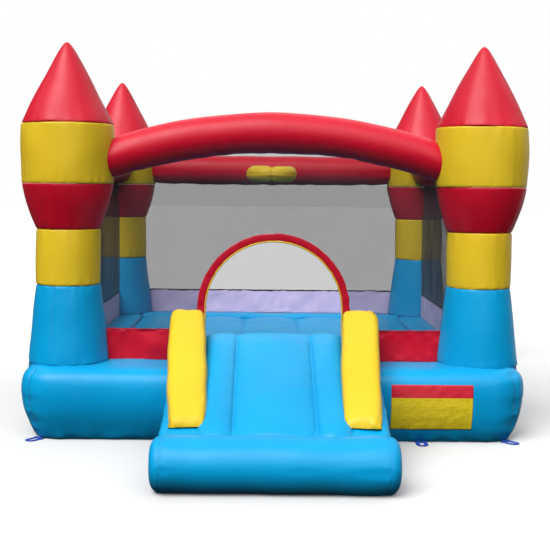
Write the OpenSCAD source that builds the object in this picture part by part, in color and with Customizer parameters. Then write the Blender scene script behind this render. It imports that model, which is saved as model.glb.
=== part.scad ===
// Inflatable bounce house with four corner towers, net walls and a front slide.
// Every inflated piece is a thin fabric skin around an air space; seams are where two skins meet.
// Frame: origin on the ground midway between the towers, +X right, +Y to the back, +Z up.

/* [Footprint] */
// Distance between tower centres, side to side
tower_span_x = 2250; // [2150:10:2400]
// Distance between tower centres, front to back
tower_span_y = 2150; // [2050:10:2300]
// Base edge beyond the tower centres at each side
side_overhang = 235; // [230:5:280]
// Base edge beyond the front tower centres
front_overhang = 310; // [260:5:360]
// Base edge beyond the rear tower centres
rear_overhang = 250; // [240:5:320]

/* [Base] */
// Height of the base and bounce floor
base_height = 385; // [340:5:430]
// Width of the tubes around the floor
rim_width = 400; // [360:5:440]
// Corner radius of the base seen from above
corner_radius = 200; // [190:5:240]
// Radius of the side walls' bulge
bulge_radius = 510; // [470:10:600]
// Height at which the side walls bulge most
bulge_height = 266; // [250:2:280]
// Number of air channels across the floor
floor_channels = 5; // [3:1:7]
// Height of a floor channel's crown above its seams
floor_crown = 20; // [10:1:30]

/* [Towers] */
// Radius of a blue column at its foot
foot_radius = 220; // [200:1:222]
// Radius of the neck
neck_radius = 174; // [150:1:190]
// Radius of the drum
drum_radius = 247; // [225:1:260]
// Top of the blue column
column_top = 812; // [760:2:860]
// Top of the neck
neck_top = 1114; // [1060:2:1160]
// Bottom of the drum
drum_bottom = 1358; // [1330:2:1380]
// Top of the drum
drum_top = 1678; // [1650:2:1720]
// Height of the cone tips, the whole height of the house
tip_height = 2115; // [2050:5:2200]
// Radius of the rounded tip
tip_radius = 34; // [20:1:45]

/* [Beams] */
// Radius of the front arch tube
arch_radius = 105; // [90:1:110]
// Height of the arch's centre line at its crest
arch_crest = 1641; // [1620:1:1660]
// Radius of the arch's curve
arch_curve = 2750; // [2500:10:3200]
// Radius of the side and rear beams
beam_radius = 103.5; // [90:0.5:110]
// Height of the beams' centre line
beam_height = 1471; // [1465:1:1500]

/* [Walls] */
// Height of the fabric bands above the base
band_height = 175; // [150:5:185]
// Thickness of the fabric bands
band_thickness = 5; // [3:0.5:8]
// Thickness of the net panels
net_thickness = 4; // [2:0.5:6]
// Half width of the doorway in the front net
door_half_width = 420; // [380:5:430]
// Height of the doorway's top
door_top = 1095; // [1050:5:1150]
// Width of the red binding around the doorway
binding_width = 38; // [25:1:45]
// Width of the yellow piping inside the binding
piping_width = 8; // [5:1:12]

/* [Slide] */
// Width of the slide
slide_width = 1070; // [1000:10:1120]
// Height of the slide's crest
crest_height = 556; // [530:2:580]
// Length of the slide in front of the base
slide_reach = 950; // [900:10:1000]
// Height of the slide's foot
foot_height = 196; // [180:2:210]
// Width of the bed's middle channel
middle_channel = 390; // [340:5:420]
// Width of each of the bed's outer channels
outer_channel = 160; // [140:5:170]
// Crown of the bed's channels
bed_crown = 24; // [15:1:30]
// Radius of the landing bolster
bolster_radius = 128; // [115:1:135]
// Width of a bumper
bumper_width = 197; // [170:1:205]
// Thickness of a bumper across the slope
bumper_thickness = 150; // [130:1:165]
// Angle by which each bumper turns inwards towards the foot
bumper_toe = 4.2; // [2:0.1:5]

/* [Fittings] */
// Outer diameter of the basketball hoop
hoop_diameter = 370; // [340:5:400]
// Diameter of the hoop's tube
hoop_tube = 115; // [100:1:125]
// Height of the hoop's centre
hoop_height = 1442; // [1430:1:1455]
// Width of an anchor loop
loop_width = 64; // [55:1:75]
// Width of the anchor webbing
webbing_width = 21; // [16:1:22]
// Length of the label patch
label_length = 430; // [380:5:450]
// Inner radius of the blower sleeve
sleeve_radius = 75; // [60:1:90]
// Length of the blower sleeve
sleeve_length = 300; // [250:10:400]

/* [Skin] */
// Thickness of the inflated fabric's skin
skin = 4; // [3:0.5:6]

/* [Hidden] */
$fn = 72;

blue = [0.02, 0.45, 0.85];
yellow = [0.92, 0.78, 0.05];
red = [0.75, 0.02, 0.10];
lavender = [0.62, 0.60, 0.78];
net_black = [0.08, 0.08, 0.09];
webbing_blue = [0.03, 0.12, 0.55];

left = -1;
right = 1;
front = -1;
rear = 1;

cut_over = 1;
seam_gap = 0.5;
slab_share = 1.25;
tower_x = tower_span_x / 2;
tower_y = tower_span_y / 2;
half_width = tower_x + side_overhang;
front_face = -tower_y - front_overhang;
rear_face = tower_y + rear_overhang;
floor_half_x = half_width - rim_width;
floor_front = front_face + rim_width;
floor_rear = rear_face - rim_width;
rim_inset = rim_width - corner_radius;
rim_length_x = 2 * (half_width - corner_radius);
rim_length_y = rear_face - front_face - 2 * corner_radius;
rim_middle_y = (front_face + rear_face) / 2;
foot_inset = bulge_radius - sqrt(pow(bulge_radius, 2) - pow(bulge_height, 2));
band_top = base_height + band_height;
vent_radius = 90;
port_radius = 60;
port_spacing = 700;

arch_centre = arch_crest - arch_curve;
arch_angle = 2 * asin((tower_x - 0.8 * drum_radius) / arch_curve);
arch_port = arch_centre + sqrt(pow(arch_curve, 2) - pow(tower_x - drum_radius, 2));

channel_width = 2 * floor_half_x / floor_channels;
floor_arc = (pow(channel_width / 2, 2) + pow(floor_crown, 2)) / (2 * floor_crown);
baffle_thickness = 3;
baffle_clearance = 150;

slide_back = -tower_y - 30;
crest_radius = 70;
crest_y = slide_back - crest_radius;
slide_front = front_face - slide_reach;
bolster_y = slide_front + bolster_radius;
bolster_sink = 6;
bolster_round = 60;
ramp_end = bolster_y + 70;
slope_run = crest_y - ramp_end;
slope_fall = crest_height - foot_height;
slope_angle = atan(slope_fall / slope_run);
slope_length = sqrt(pow(slope_run, 2) + pow(slope_fall, 2));
bed_lift = 2;

bumper_length = 1005;
bumper_back = -tower_y - 35;
bumper_height = 638;
bumper_drop = 25.5;
bumper_x = 472;

door_centre = door_top - door_half_width;
hoop_pivot_y = tower_y - beam_radius - 3;
hoop_y = hoop_pivot_y - 12 - hoop_diameter / 2;
hoop_pivot_z = hoop_height + 18;
tab_width = 120;
tab_thickness = 4;

loop_length = 95;
loop_clearance = 3;
loop_turn = 40;
loop_thickness = 3;
loop_lift = 0.6;
front_loop_x = 790;
sleeve_x = 760;
sleeve_height = 192;
strap_width = 25;
strap_thickness = 3;
label_thickness = 1.5;
label_low = 80;
label_high = 326;
label_x = 620;

// ---- shared shapes ----

// One sewn panel of a tower: an open ring of fabric, straight or tapered
module tower_panel(low_radius, high_radius, low, high) {
  translate([0, 0, low])
    rotate_extrude()
      polygon([
        [low_radius - skin, 0],
        [low_radius, 0],
        [high_radius, high - low],
        [high_radius - skin, high - low]
      ]);
}

module at_tower(side, end) {
  translate([side * tower_x, end * tower_y, 0])
    children();
}

module column() {
  tower_panel(foot_radius, neck_radius, base_height, column_top);
}

module neck() {
  tower_panel(neck_radius, neck_radius, column_top, neck_top);
}

module taper() {
  tower_panel(neck_radius, drum_radius, neck_top, drum_bottom);
}

// The drum has an air port towards each beam that it carries
module drum(side, end, port_height) {
  difference() {
    tower_panel(drum_radius, drum_radius, drum_bottom, drum_top);
    translate([0, 0, port_height])
      rotate([0, -side * 90, 0])
        cylinder(h = drum_radius + cut_over, r = port_radius);
    translate([0, 0, beam_height])
      rotate([end * 90, 0, 0])
        cylinder(h = drum_radius + cut_over, r = port_radius);
  }
}

module cone() {
  rise = tip_height - drum_top;
  translate([0, 0, drum_top])
    rotate_extrude()
      polygon([
        [drum_radius - skin, 0],
        [drum_radius, 0],
        [tip_radius, rise - tip_radius],
        [0.75 * tip_radius, rise - 0.35 * tip_radius],
        [0.4 * tip_radius, rise - 0.08 * tip_radius],
        [0, rise],
        [0, rise - skin],
        [0.4 * tip_radius - skin / 4, rise - 0.08 * tip_radius - skin],
        [0.75 * tip_radius - skin / 2, rise - 0.35 * tip_radius - skin],
        [tip_radius - skin, rise - tip_radius - skin]
      ]);
}

// Outer section of a base tube, from a radius around the corner's axis out to the bulging wall
module rim_section(inset, inner = 0) {
  intersection() {
    translate([corner_radius - bulge_radius, bulge_height])
      circle(r = bulge_radius - inset, $fn = 360);
    translate([inner, inset])
      square([corner_radius + cut_over - inner, base_height - 2 * inset]);
  }
}

// A base tube with mitred corners, lying along X with its outer wall towards -Y
module rim_solid(length, inset, extra) {
  core = corner_radius / 2;
  mitre = core * sin(45);
  slab = inset * slab_share;
  rotate([90, 0, -90])
    linear_extrude(height = length, center = true)
      rim_section(inset);
  for (end = [left, right])
    mirror([1 - end, 0, 0])
      translate([length / 2, 0, 0])
        rotate([0, 0, -90])
          rotate_extrude(angle = 45 + extra)
            rim_section(inset, core / 2);
  translate([0, 0, slab])
    linear_extrude(height = base_height - 2 * slab)
      polygon([
        [length / 2, -core],
        [length / 2 + extra + mitre, -mitre],
        [length / 2 + extra - rim_inset + inset, rim_inset - inset],
        [-length / 2 - extra + rim_inset - inset, rim_inset - inset],
        [-length / 2 - extra - mitre, -mitre],
        [-length / 2, -core]
      ]);
}

module rim_tube(length) {
  difference() {
    rim_solid(length, 0, 0);
    rim_solid(length, skin, 2);
    for (step = [-1, 0, 1])
      translate([step * port_spacing, rim_inset - 2 * skin, base_height / 2])
        rotate([-90, 0, 0])
          cylinder(h = 4 * skin, r = port_radius);
  }
}

module at_front_rim() {
  translate([0, front_face + corner_radius, 0])
    children();
}

module at_rear_rim() {
  translate([0, rear_face - corner_radius, 0])
    rotate([0, 0, 180])
      children();
}

module at_side_rim(side) {
  translate([side * (half_width - corner_radius), rim_middle_y, 0])
    rotate([0, 0, side * 90])
      children();
}

// Air vents through the top of the base under the towers
module tower_vents() {
  for (side = [left, right])
    for (end = [front, rear])
      at_tower(side, end)
        translate([0, 0, base_height - 2 * skin])
          cylinder(h = 4 * skin, r = vent_radius);
}

module drum_clearance(ends) {
  for (end = ends)
    for (side = [left, right])
      at_tower(side, end)
        translate([0, 0, drum_bottom])
          cylinder(h = drum_top - drum_bottom, r = drum_radius + seam_gap);
}

module beam_tube(length) {
  difference() {
    cylinder(h = length, r = beam_radius, center = true);
    cylinder(h = length + 2 * cut_over, r = beam_radius - skin, center = true);
  }
}

// Panel that fills the space between two towers, drawn flat with its height along Y
module between_towers(span, low, high) {
  foot_at_low = foot_radius - (foot_radius - neck_radius) * (low - base_height) / (column_top - base_height);
  foot_at_high = foot_radius - (foot_radius - neck_radius) * (high - base_height) / (column_top - base_height);
  tower_at_high = high > column_top ? drum_radius : foot_at_high;
  outline = high > column_top
    ? [
        [span / 2 - foot_at_low - seam_gap, low],
        [span / 2 - neck_radius - seam_gap, column_top],
        [span / 2 - neck_radius - seam_gap, neck_top],
        [span / 2 - drum_radius - seam_gap, drum_bottom],
        [span / 2 - tower_at_high - seam_gap, high]
      ]
    : [
        [span / 2 - foot_at_low - seam_gap, low],
        [span / 2 - tower_at_high - seam_gap, high]
      ];
  last = len(outline) - 1;
  polygon(concat(outline, [for (i = [last:-1:0]) [-outline[i][0], outline[i][1]]]));
}

module upright_x(thickness) {
  rotate([90, 0, 0])
    linear_extrude(height = thickness, center = true)
      children();
}

module upright_y(thickness) {
  rotate([90, 0, 90])
    linear_extrude(height = thickness, center = true)
      children();
}

// Outline of the doorway, an arch on straight legs
module door_outline(half_wide, low) {
  intersection() {
    translate([0, door_centre])
      circle(r = half_wide);
    translate([-half_wide, door_centre])
      square([2 * half_wide, half_wide + cut_over]);
  }
  translate([-half_wide, low])
    square([2 * half_wide, door_centre - low]);
}

module door_band(outer, inner) {
  difference() {
    door_outline(outer, base_height);
    door_outline(inner, base_height - cut_over);
  }
}

// Side view of the slide, drawn with its length along X (towards the back) and height along Y
module ramp_side(inset) {
  top_lift = (crest_radius - inset) * cos(slope_angle);
  top_shift = (crest_radius - inset) * sin(slope_angle);
  crest_z = crest_height - crest_radius;
  end_top = foot_height - inset / cos(slope_angle);
  translate([crest_y, crest_z])
    circle(r = crest_radius - inset);
  polygon([
    [ramp_end + inset, inset],
    [slide_back - inset, inset],
    [slide_back - inset, crest_z],
    [crest_y, crest_z],
    [crest_y - top_shift, crest_z + top_lift],
    [ramp_end + inset, end_top]
  ]);
}

module channel_crown(width, inset) {
  arc = (pow(width / 2, 2) + pow(bed_crown, 2)) / (2 * bed_crown);
  intersection() {
    translate([0, bed_crown - arc])
      circle(r = arc - inset, $fn = 180);
    translate([-width / 2, -3 * bed_crown])
      square([width, 5 * bed_crown]);
  }
}

// The three air channels of the bed, lying on the slope
module bed_channels(inset) {
  translate([0, ramp_end, foot_height + bed_lift - inset])
    rotate([90 + slope_angle, 0, 0])
      translate([0, 0, -slope_length * 0.93])
        linear_extrude(height = slope_length * 0.9) {
          channel_crown(middle_channel, inset);
          for (side = [left, right])
            translate([side * (middle_channel + outer_channel) / 2, 0])
              channel_crown(outer_channel, inset);
        }
}

// The space that the front of the base takes under and behind the slide
module base_clearance(grow) {
  at_front_rim()
    rim_solid(rim_length_x, -grow, 0);
}

module bumper_side(inset) {
  translate([bumper_thickness / 2, 0])
    circle(r = bumper_thickness / 2 - inset);
  translate([bumper_length - bumper_thickness / 2, 0])
    circle(r = bumper_thickness / 2 - inset);
  translate([bumper_thickness / 2, inset - bumper_thickness / 2])
    square([bumper_length - bumper_thickness, bumper_thickness - 2 * inset]);
}

// A bumper lies on the slope with its back end at the top, seated on the ramp
module bumper_solid(side, inset) {
  difference() {
    translate([side * bumper_x, bumper_back, bumper_height])
      rotate([0, 0, -side * bumper_toe])
        rotate([bumper_drop, 0, 0])
          rotate([90, 0, -90])
            linear_extrude(height = bumper_width - 2 * inset, center = true)
              bumper_side(inset);
    ramp_solid(-seam_gap - inset);
  }
}

module bumper(side) {
  difference() {
    bumper_solid(side, 0);
    bumper_solid(side, skin);
  }
}

// An anchor loop lying flat, its sewn end at the origin and its eye towards -Y
module anchor_loop() {
  eye = loop_width / 2 - webbing_width;
  translate([0, 0, loop_lift])
    linear_extrude(height = loop_thickness)
      difference() {
        union() {
          translate([0, loop_width / 2 - loop_length])
            circle(d = loop_width);
          translate([-loop_width / 2, loop_width / 2 - loop_length])
            square([loop_width, loop_length - loop_width / 2]);
        }
        translate([0, loop_width / 2 - loop_length])
          circle(r = eye);
        translate([-eye, loop_width / 2 - loop_length])
          square([2 * eye, loop_length - loop_width / 2 - webbing_width]);
      }
}

module at_corner_loop(side, end) {
  root = corner_radius - foot_inset + loop_clearance;
  centre_y = end < 0 ? front_face + corner_radius : rear_face - corner_radius;
  translate([side * (half_width - corner_radius), centre_y, 0])
    rotate([0, 0, end < 0 ? side * loop_turn : side * (180 - loop_turn)])
      translate([0, -root, 0])
        children();
}

// ---- towers ----

module column_front_left() {
  color(blue) at_tower(left, front) column();
}

module neck_front_left() {
  color(yellow) at_tower(left, front) neck();
}

module taper_front_left() {
  color(red) at_tower(left, front) taper();
}

module drum_front_left() {
  color(yellow) at_tower(left, front) drum(left, front, arch_port);
}

module cone_front_left() {
  color(red) at_tower(left, front) cone();
}

module column_front_right() {
  color(blue) at_tower(right, front) column();
}

module neck_front_right() {
  color(yellow) at_tower(right, front) neck();
}

module taper_front_right() {
  color(red) at_tower(right, front) taper();
}

module drum_front_right() {
  color(yellow) at_tower(right, front) drum(right, front, arch_port);
}

module cone_front_right() {
  color(red) at_tower(right, front) cone();
}

module column_rear_left() {
  color(blue) at_tower(left, rear) column();
}

module neck_rear_left() {
  color(yellow) at_tower(left, rear) neck();
}

module taper_rear_left() {
  color(red) at_tower(left, rear) taper();
}

module drum_rear_left() {
  color(yellow) at_tower(left, rear) drum(left, rear, beam_height);
}

module cone_rear_left() {
  color(red) at_tower(left, rear) cone();
}

module column_rear_right() {
  color(blue) at_tower(right, rear) column();
}

module neck_rear_right() {
  color(yellow) at_tower(right, rear) neck();
}

module taper_rear_right() {
  color(red) at_tower(right, rear) taper();
}

module drum_rear_right() {
  color(yellow) at_tower(right, rear) drum(right, rear, beam_height);
}

module cone_rear_right() {
  color(red) at_tower(right, rear) cone();
}

// ---- beams ----

module front_arch() {
  color(red)
    difference() {
      translate([0, -tower_y, arch_centre])
        rotate([90, 0, 0])
          rotate([0, 0, 90 - arch_angle / 2])
            rotate_extrude(angle = arch_angle, $fn = 360)
              translate([arch_curve, 0])
                difference() {
                  circle(r = arch_radius);
                  circle(r = arch_radius - skin);
                }
      drum_clearance([front]);
    }
}

module rear_beam() {
  color(red)
    difference() {
      translate([0, tower_y, beam_height])
        rotate([0, 90, 0])
          beam_tube(tower_span_x - 2 * drum_radius + 2 * skin);
      drum_clearance([rear]);
    }
}

module side_beam(side) {
  difference() {
    translate([side * tower_x, 0, beam_height])
      rotate([90, 0, 0])
        beam_tube(tower_span_y - 2 * drum_radius + 2 * skin);
    drum_clearance([front, rear]);
  }
}

module left_beam() {
  color(red) side_beam(left);
}

module right_beam() {
  color(red) side_beam(right);
}

// ---- base and floor ----

module base_front() {
  color(blue)
    difference() {
      at_front_rim() rim_tube(rim_length_x);
      tower_vents();
    }
}

module base_rear() {
  color(blue)
    difference() {
      at_rear_rim() rim_tube(rim_length_x);
      tower_vents();
      translate([sleeve_x, rear_face - 4 * skin, sleeve_height])
        rotate([-90, 0, 0])
          cylinder(h = 6 * skin, r = sleeve_radius - 2 * skin);
    }
}

module base_left() {
  color(blue)
    difference() {
      at_side_rim(left) rim_tube(rim_length_y);
      tower_vents();
    }
}

module base_right() {
  color(blue)
    difference() {
      at_side_rim(right) rim_tube(rim_length_y);
      tower_vents();
    }
}

module floor_section() {
  for (i = [0:floor_channels - 1])
    translate([-floor_half_x + channel_width * (i + 0.5), base_height - floor_arc])
      intersection() {
        difference() {
          circle(r = floor_arc, $fn = 360);
          circle(r = floor_arc - skin, $fn = 360);
        }
        translate([-channel_width / 2, 0])
          square([channel_width, floor_arc + cut_over]);
      }
}

module bounce_floor() {
  color(blue)
    translate([0, floor_front, 0])
      rotate([90, 0, 180])
        linear_extrude(height = floor_rear - floor_front)
          floor_section();
}

module floor_baffles() {
  color(blue)
    for (i = [1:floor_channels - 1])
      translate([
        -floor_half_x + channel_width * i - baffle_thickness / 2,
        floor_front + baffle_clearance,
        skin
      ])
        cube([
          baffle_thickness,
          floor_rear - floor_front - 2 * baffle_clearance,
          base_height - floor_crown - 3 * skin
        ]);
}

module ground_sheet() {
  color(blue)
    translate([-floor_half_x, floor_front, 0])
      cube([2 * floor_half_x, floor_rear - floor_front, skin]);
}

// ---- slide ----

module ramp_solid(inset) {
  difference() {
    union() {
      upright_y(slide_width - 2 * inset)
        ramp_side(inset);
      bed_channels(inset);
    }
    base_clearance(seam_gap + inset);
  }
}

module slide_ramp() {
  color(blue)
    difference() {
      ramp_solid(0);
      ramp_solid(skin);
    }
}

module slide_baffles() {
  color(blue)
    for (side = [left, right])
      translate([side * middle_channel / 2, 0, 0])
        upright_y(baffle_thickness)
          polygon([
            [ramp_end + baffle_clearance, skin],
            [front_face - baffle_clearance, skin],
            [front_face - baffle_clearance, foot_height],
            [ramp_end + baffle_clearance, foot_height - baffle_clearance / 2]
          ]);
}

module bolster_solid(inset) {
  radius = bolster_radius - inset;
  half = slide_width / 2 + bolster_round / 3 - inset;
  round = bolster_round;
  rotate([0, 90, 0])
    rotate_extrude()
      polygon([
        [0, -half],
        [radius - round, -half],
        [radius - 0.35 * round, -half + 0.25 * round],
        [radius, -half + round],
        [radius, half - round],
        [radius - 0.35 * round, half - 0.25 * round],
        [radius - round, half],
        [0, half]
      ]);
}

module slide_bolster() {
  sunk = bolster_radius - bolster_sink;
  color(blue)
    difference() {
      translate([0, bolster_y, sunk])
        bolster_solid(0);
      difference() {
        translate([0, bolster_y, sunk])
          bolster_solid(skin);
        translate([-slide_width, slide_front - slide_width, skin - slide_width])
          cube([2 * slide_width, 2 * slide_width, slide_width]);
      }
      translate([-slide_width, slide_front - slide_width, -slide_width])
        cube([2 * slide_width, 2 * slide_width, slide_width]);
      translate([-slide_width, ramp_end - seam_gap, -cut_over])
        cube([2 * slide_width, slide_width, slide_width]);
    }
}

module bumper_left() {
  color(yellow) bumper(left);
}

module bumper_right() {
  color(yellow) bumper(right);
}

// ---- bands and nets ----

module band_front(side) {
  inner = door_half_width + seam_gap;
  translate([0, -tower_y, 0])
    upright_x(band_thickness)
      intersection() {
        between_towers(tower_span_x, base_height, band_top);
        translate([side > 0 ? inner : -inner - tower_x, base_height])
          square([tower_x, band_height]);
      }
}

module band_front_left() {
  color(red) band_front(left);
}

module band_front_right() {
  color(red) band_front(right);
}

module band_side(side) {
  translate([side * tower_x, 0, 0])
    upright_y(band_thickness)
      between_towers(tower_span_y, base_height, band_top);
}

module band_left() {
  color(lavender) band_side(left);
}

module band_right() {
  color(lavender) band_side(right);
}

module band_rear() {
  color(lavender)
    translate([0, tower_y, 0])
      upright_x(band_thickness)
        between_towers(tower_span_x, base_height, band_top);
}

module net_front() {
  color(net_black)
    translate([0, -tower_y, 0])
      upright_x(net_thickness)
        difference() {
          intersection() {
            between_towers(tower_span_x, band_top, arch_crest);
            translate([0, arch_centre])
              circle(r = arch_curve - arch_radius - seam_gap, $fn = 360);
          }
          door_outline(door_half_width + seam_gap, base_height);
        }
}

module net_side(side) {
  translate([side * tower_x, 0, 0])
    upright_y(net_thickness)
      between_towers(tower_span_y, band_top, beam_height - beam_radius - seam_gap);
}

module net_left() {
  color(net_black) net_side(left);
}

module net_right() {
  color(net_black) net_side(right);
}

module net_rear() {
  color(net_black)
    translate([0, tower_y, 0])
      upright_x(net_thickness)
        between_towers(tower_span_x, band_top, beam_height - beam_radius - seam_gap);
}

module door_binding() {
  color(red)
    translate([0, -tower_y, 0])
      upright_x(band_thickness + 1)
        door_band(door_half_width, door_half_width - binding_width);
}

module door_piping() {
  piping_outer = door_half_width - binding_width - seam_gap;
  color(yellow)
    translate([0, -tower_y, 0])
      upright_x(piping_width)
        door_band(piping_outer, piping_outer - piping_width);
}

// ---- fittings ----

module label_patch() {
  color(yellow)
    translate([label_x, front_face + corner_radius, 0])
      intersection() {
        rotate([90, 0, 90])
          linear_extrude(height = label_length)
            mirror([1, 0])
              difference() {
                rim_section(-label_thickness - seam_gap);
                rim_section(-seam_gap);
              }
        translate([-cut_over, -2 * corner_radius, label_low])
          cube([label_length + 2 * cut_over, 1.5 * corner_radius, label_high - label_low]);
      }
}

module hoop() {
  color(yellow)
    translate([0, hoop_y, hoop_height])
      rotate_extrude()
        translate([(hoop_diameter - hoop_tube) / 2, 0])
          difference() {
            circle(d = hoop_tube);
            circle(d = hoop_tube - 2 * skin);
          }
}

module hoop_tab() {
  color(yellow)
    difference() {
      translate([-tab_width / 2, hoop_pivot_y - 60, hoop_pivot_z - tab_thickness / 2])
        cube([tab_width, 60, tab_thickness]);
      translate([0, hoop_y, hoop_height])
        rotate_extrude()
          translate([(hoop_diameter - hoop_tube) / 2, 0])
            circle(d = hoop_tube + seam_gap);
    }
}

module loop_front_left() {
  color(webbing_blue) at_corner_loop(left, front) anchor_loop();
}

module loop_front_middle() {
  color(webbing_blue)
    translate([front_loop_x, front_face + foot_inset - loop_clearance, 0])
      anchor_loop();
}

module loop_front_right() {
  color(webbing_blue) at_corner_loop(right, front) anchor_loop();
}

module loop_rear_left() {
  color(webbing_blue) at_corner_loop(left, rear) anchor_loop();
}

module loop_rear_right() {
  color(webbing_blue) at_corner_loop(right, rear) anchor_loop();
}

module blower_sleeve() {
  color(blue)
    translate([sleeve_x, rear_face + seam_gap, sleeve_height])
      rotate([-90, 0, 0])
        difference() {
          cylinder(h = sleeve_length, r = sleeve_radius + skin);
          translate([0, 0, -cut_over])
            cylinder(h = sleeve_length + 2 * cut_over, r = sleeve_radius);
        }
}

module sleeve_strap() {
  color(webbing_blue)
    translate([sleeve_x, rear_face + sleeve_length - 3 * strap_width, sleeve_height])
      rotate([-90, 0, 0])
        difference() {
          cylinder(h = strap_width, r = sleeve_radius + skin + seam_gap + strap_thickness);
          translate([0, 0, -cut_over])
            cylinder(h = strap_width + 2 * cut_over, r = sleeve_radius + skin + seam_gap);
        }
}

column_front_left();
neck_front_left();
taper_front_left();
drum_front_left();
cone_front_left();
column_front_right();
neck_front_right();
taper_front_right();
drum_front_right();
cone_front_right();
column_rear_left();
neck_rear_left();
taper_rear_left();
drum_rear_left();
cone_rear_left();
column_rear_right();
neck_rear_right();
taper_rear_right();
drum_rear_right();
cone_rear_right();
front_arch();
rear_beam();
left_beam();
right_beam();
base_front();
base_rear();
base_left();
base_right();
bounce_floor();
floor_baffles();
ground_sheet();
slide_ramp();
slide_baffles();
slide_bolster();
bumper_left();
bumper_right();
band_front_left();
band_front_right();
band_left();
band_right();
band_rear();
net_front();
net_left();
net_right();
net_rear();
door_binding();
door_piping();
label_patch();
hoop();
hoop_tab();
loop_front_left();
loop_front_middle();
loop_front_right();
loop_rear_left();
loop_rear_right();
blower_sleeve();
sleeve_strap();
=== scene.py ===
import math

import bpy
import numpy as np
from mathutils import Matrix, Vector


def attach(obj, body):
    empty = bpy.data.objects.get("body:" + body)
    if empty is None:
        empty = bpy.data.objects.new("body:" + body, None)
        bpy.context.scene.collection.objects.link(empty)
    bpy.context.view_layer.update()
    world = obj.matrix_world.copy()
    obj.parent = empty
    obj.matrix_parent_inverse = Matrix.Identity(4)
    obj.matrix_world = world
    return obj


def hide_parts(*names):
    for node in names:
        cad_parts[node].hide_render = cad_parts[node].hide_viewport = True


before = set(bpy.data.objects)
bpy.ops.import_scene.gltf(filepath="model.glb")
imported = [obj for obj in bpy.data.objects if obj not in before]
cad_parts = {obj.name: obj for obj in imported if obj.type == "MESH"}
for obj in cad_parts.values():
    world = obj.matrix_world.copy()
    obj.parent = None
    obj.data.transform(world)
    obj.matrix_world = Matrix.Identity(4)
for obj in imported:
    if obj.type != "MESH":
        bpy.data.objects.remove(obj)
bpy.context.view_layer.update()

# ---- sizes, in metres, as in the CAD ----

TOWER_X, TOWER_Y = 1.125, 1.075
HALF_WIDTH, FRONT_FACE, REAR_FACE = 1.360, -1.385, 1.325
BASE_TOP, CORNER = 0.385, 0.200
FLOOR_X, FLOOR_FRONT, FLOOR_REAR = 0.960, -0.985, 0.925
FOOT_R, NECK_R, DRUM_R = 0.220, 0.174, 0.247
COLUMN_TOP, NECK_TOP, DRUM_LOW, DRUM_TOP, TIP = 0.812, 1.114, 1.358, 1.678, 2.115
ARCH_R, ARCH_CREST, ARCH_CURVE = 0.105, 1.641, 2.750
BEAM_R, BEAM_Z = 0.1035, 1.471
BAND_TOP = 0.560
DOOR_HALF, DOOR_CENTRE = 0.420, 0.675
RAMP_HALF, RAMP_END, SLIDE_BACK = 0.535, -2.137, -1.105
CREST_Y, CREST_Z, CREST_R, RAMP_FOOT = -1.175, 0.556, 0.070, 0.196
SLOPE = math.atan((CREST_Z - RAMP_FOOT) / (CREST_Y - RAMP_END))
BOLSTER_Y, BOLSTER_Z, BOLSTER_R, BOLSTER_HALF = -2.207, 0.122, 0.128, 0.555
HOOP_Y, HOOP_Z = 0.7715, 1.442
TAU = 2 * math.pi

# ---- camera ----

camera = bpy.data.objects.new("camera", bpy.data.cameras.new("camera"))
bpy.context.scene.collection.objects.link(camera)
camera.matrix_world = (
    Matrix.Translation((-0.068, -6.595, 1.355))
    @ Matrix.Rotation(-0.0104, 4, "Z")
    @ Matrix.Rotation(math.pi / 2 - 0.087, 4, "X")
    @ Matrix.Rotation(0.0099, 4, "Z")
)
camera.data.lens = 65.98
camera.data.sensor_width = 36.0
camera.data.shift_x = 3 / 550
camera.data.shift_y = -1 / 550
camera.data.clip_end = 100.0
bpy.context.scene.camera = camera

# ---- helpers ----


def waves(p, size, seed, terms=14):
    """Smooth noise of unit spread over points p, its features about size metres across."""
    r = np.random.default_rng(seed)
    out = np.zeros(p.shape[:-1])
    for _ in range(terms):
        d = r.normal(size=3)
        d *= TAU / (size * r.uniform(0.7, 1.8) * np.linalg.norm(d))
        out += np.sin(p @ d + r.uniform(0, TAU))
    return out / math.sqrt(terms / 2)


def ease(x):
    x = np.clip(x, 0, 1)
    return x * x * (3 - 2 * x)


def xyz(x, y, z):
    return np.stack(np.broadcast_arrays(np.asarray(x, float), y, z), axis=-1)


def pairs(a, b):
    """Two arrays, spread over one shape, as pairs of coordinates."""
    return np.stack(np.broadcast_arrays(a, b), axis=-1)


def run_along(*coords):
    """Distance run along the line through points with these coordinates."""
    return np.concatenate([[0], np.cumsum(np.linalg.norm([np.diff(c) for c in coords], axis=0))])


def angle_between(a, b):
    """Angle between two directions, from 0 to pi."""
    return np.abs((a - b + math.pi) % TAU - math.pi)


def squarish(angle, power):
    """Cosine and sine, pushed out from a circle towards a square as power rises above 2."""
    return [np.sign(w) * np.abs(w) ** (2 / power) for w in (np.cos(angle), np.sin(angle))]


def polar(r, angle, z, centre=(0.0, 0.0)):
    """Points at radius r and an angle round an upright axis."""
    return xyz(centre[0] + r * np.cos(angle), centre[1] + r * np.sin(angle), z)


def spaced(n, ends=0.6):
    """n numbers from 0 to 1, closer together at both ends as ends rises to 1."""
    t = np.linspace(0, 1, n)
    return (1 - ends) * t + ends * (1 - np.cos(math.pi * t)) / 2


def from_ends(t, length):
    """Distance to the nearer end, where t runs from 0 to 1 along length."""
    return np.minimum(t, 1 - t) * length


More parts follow.
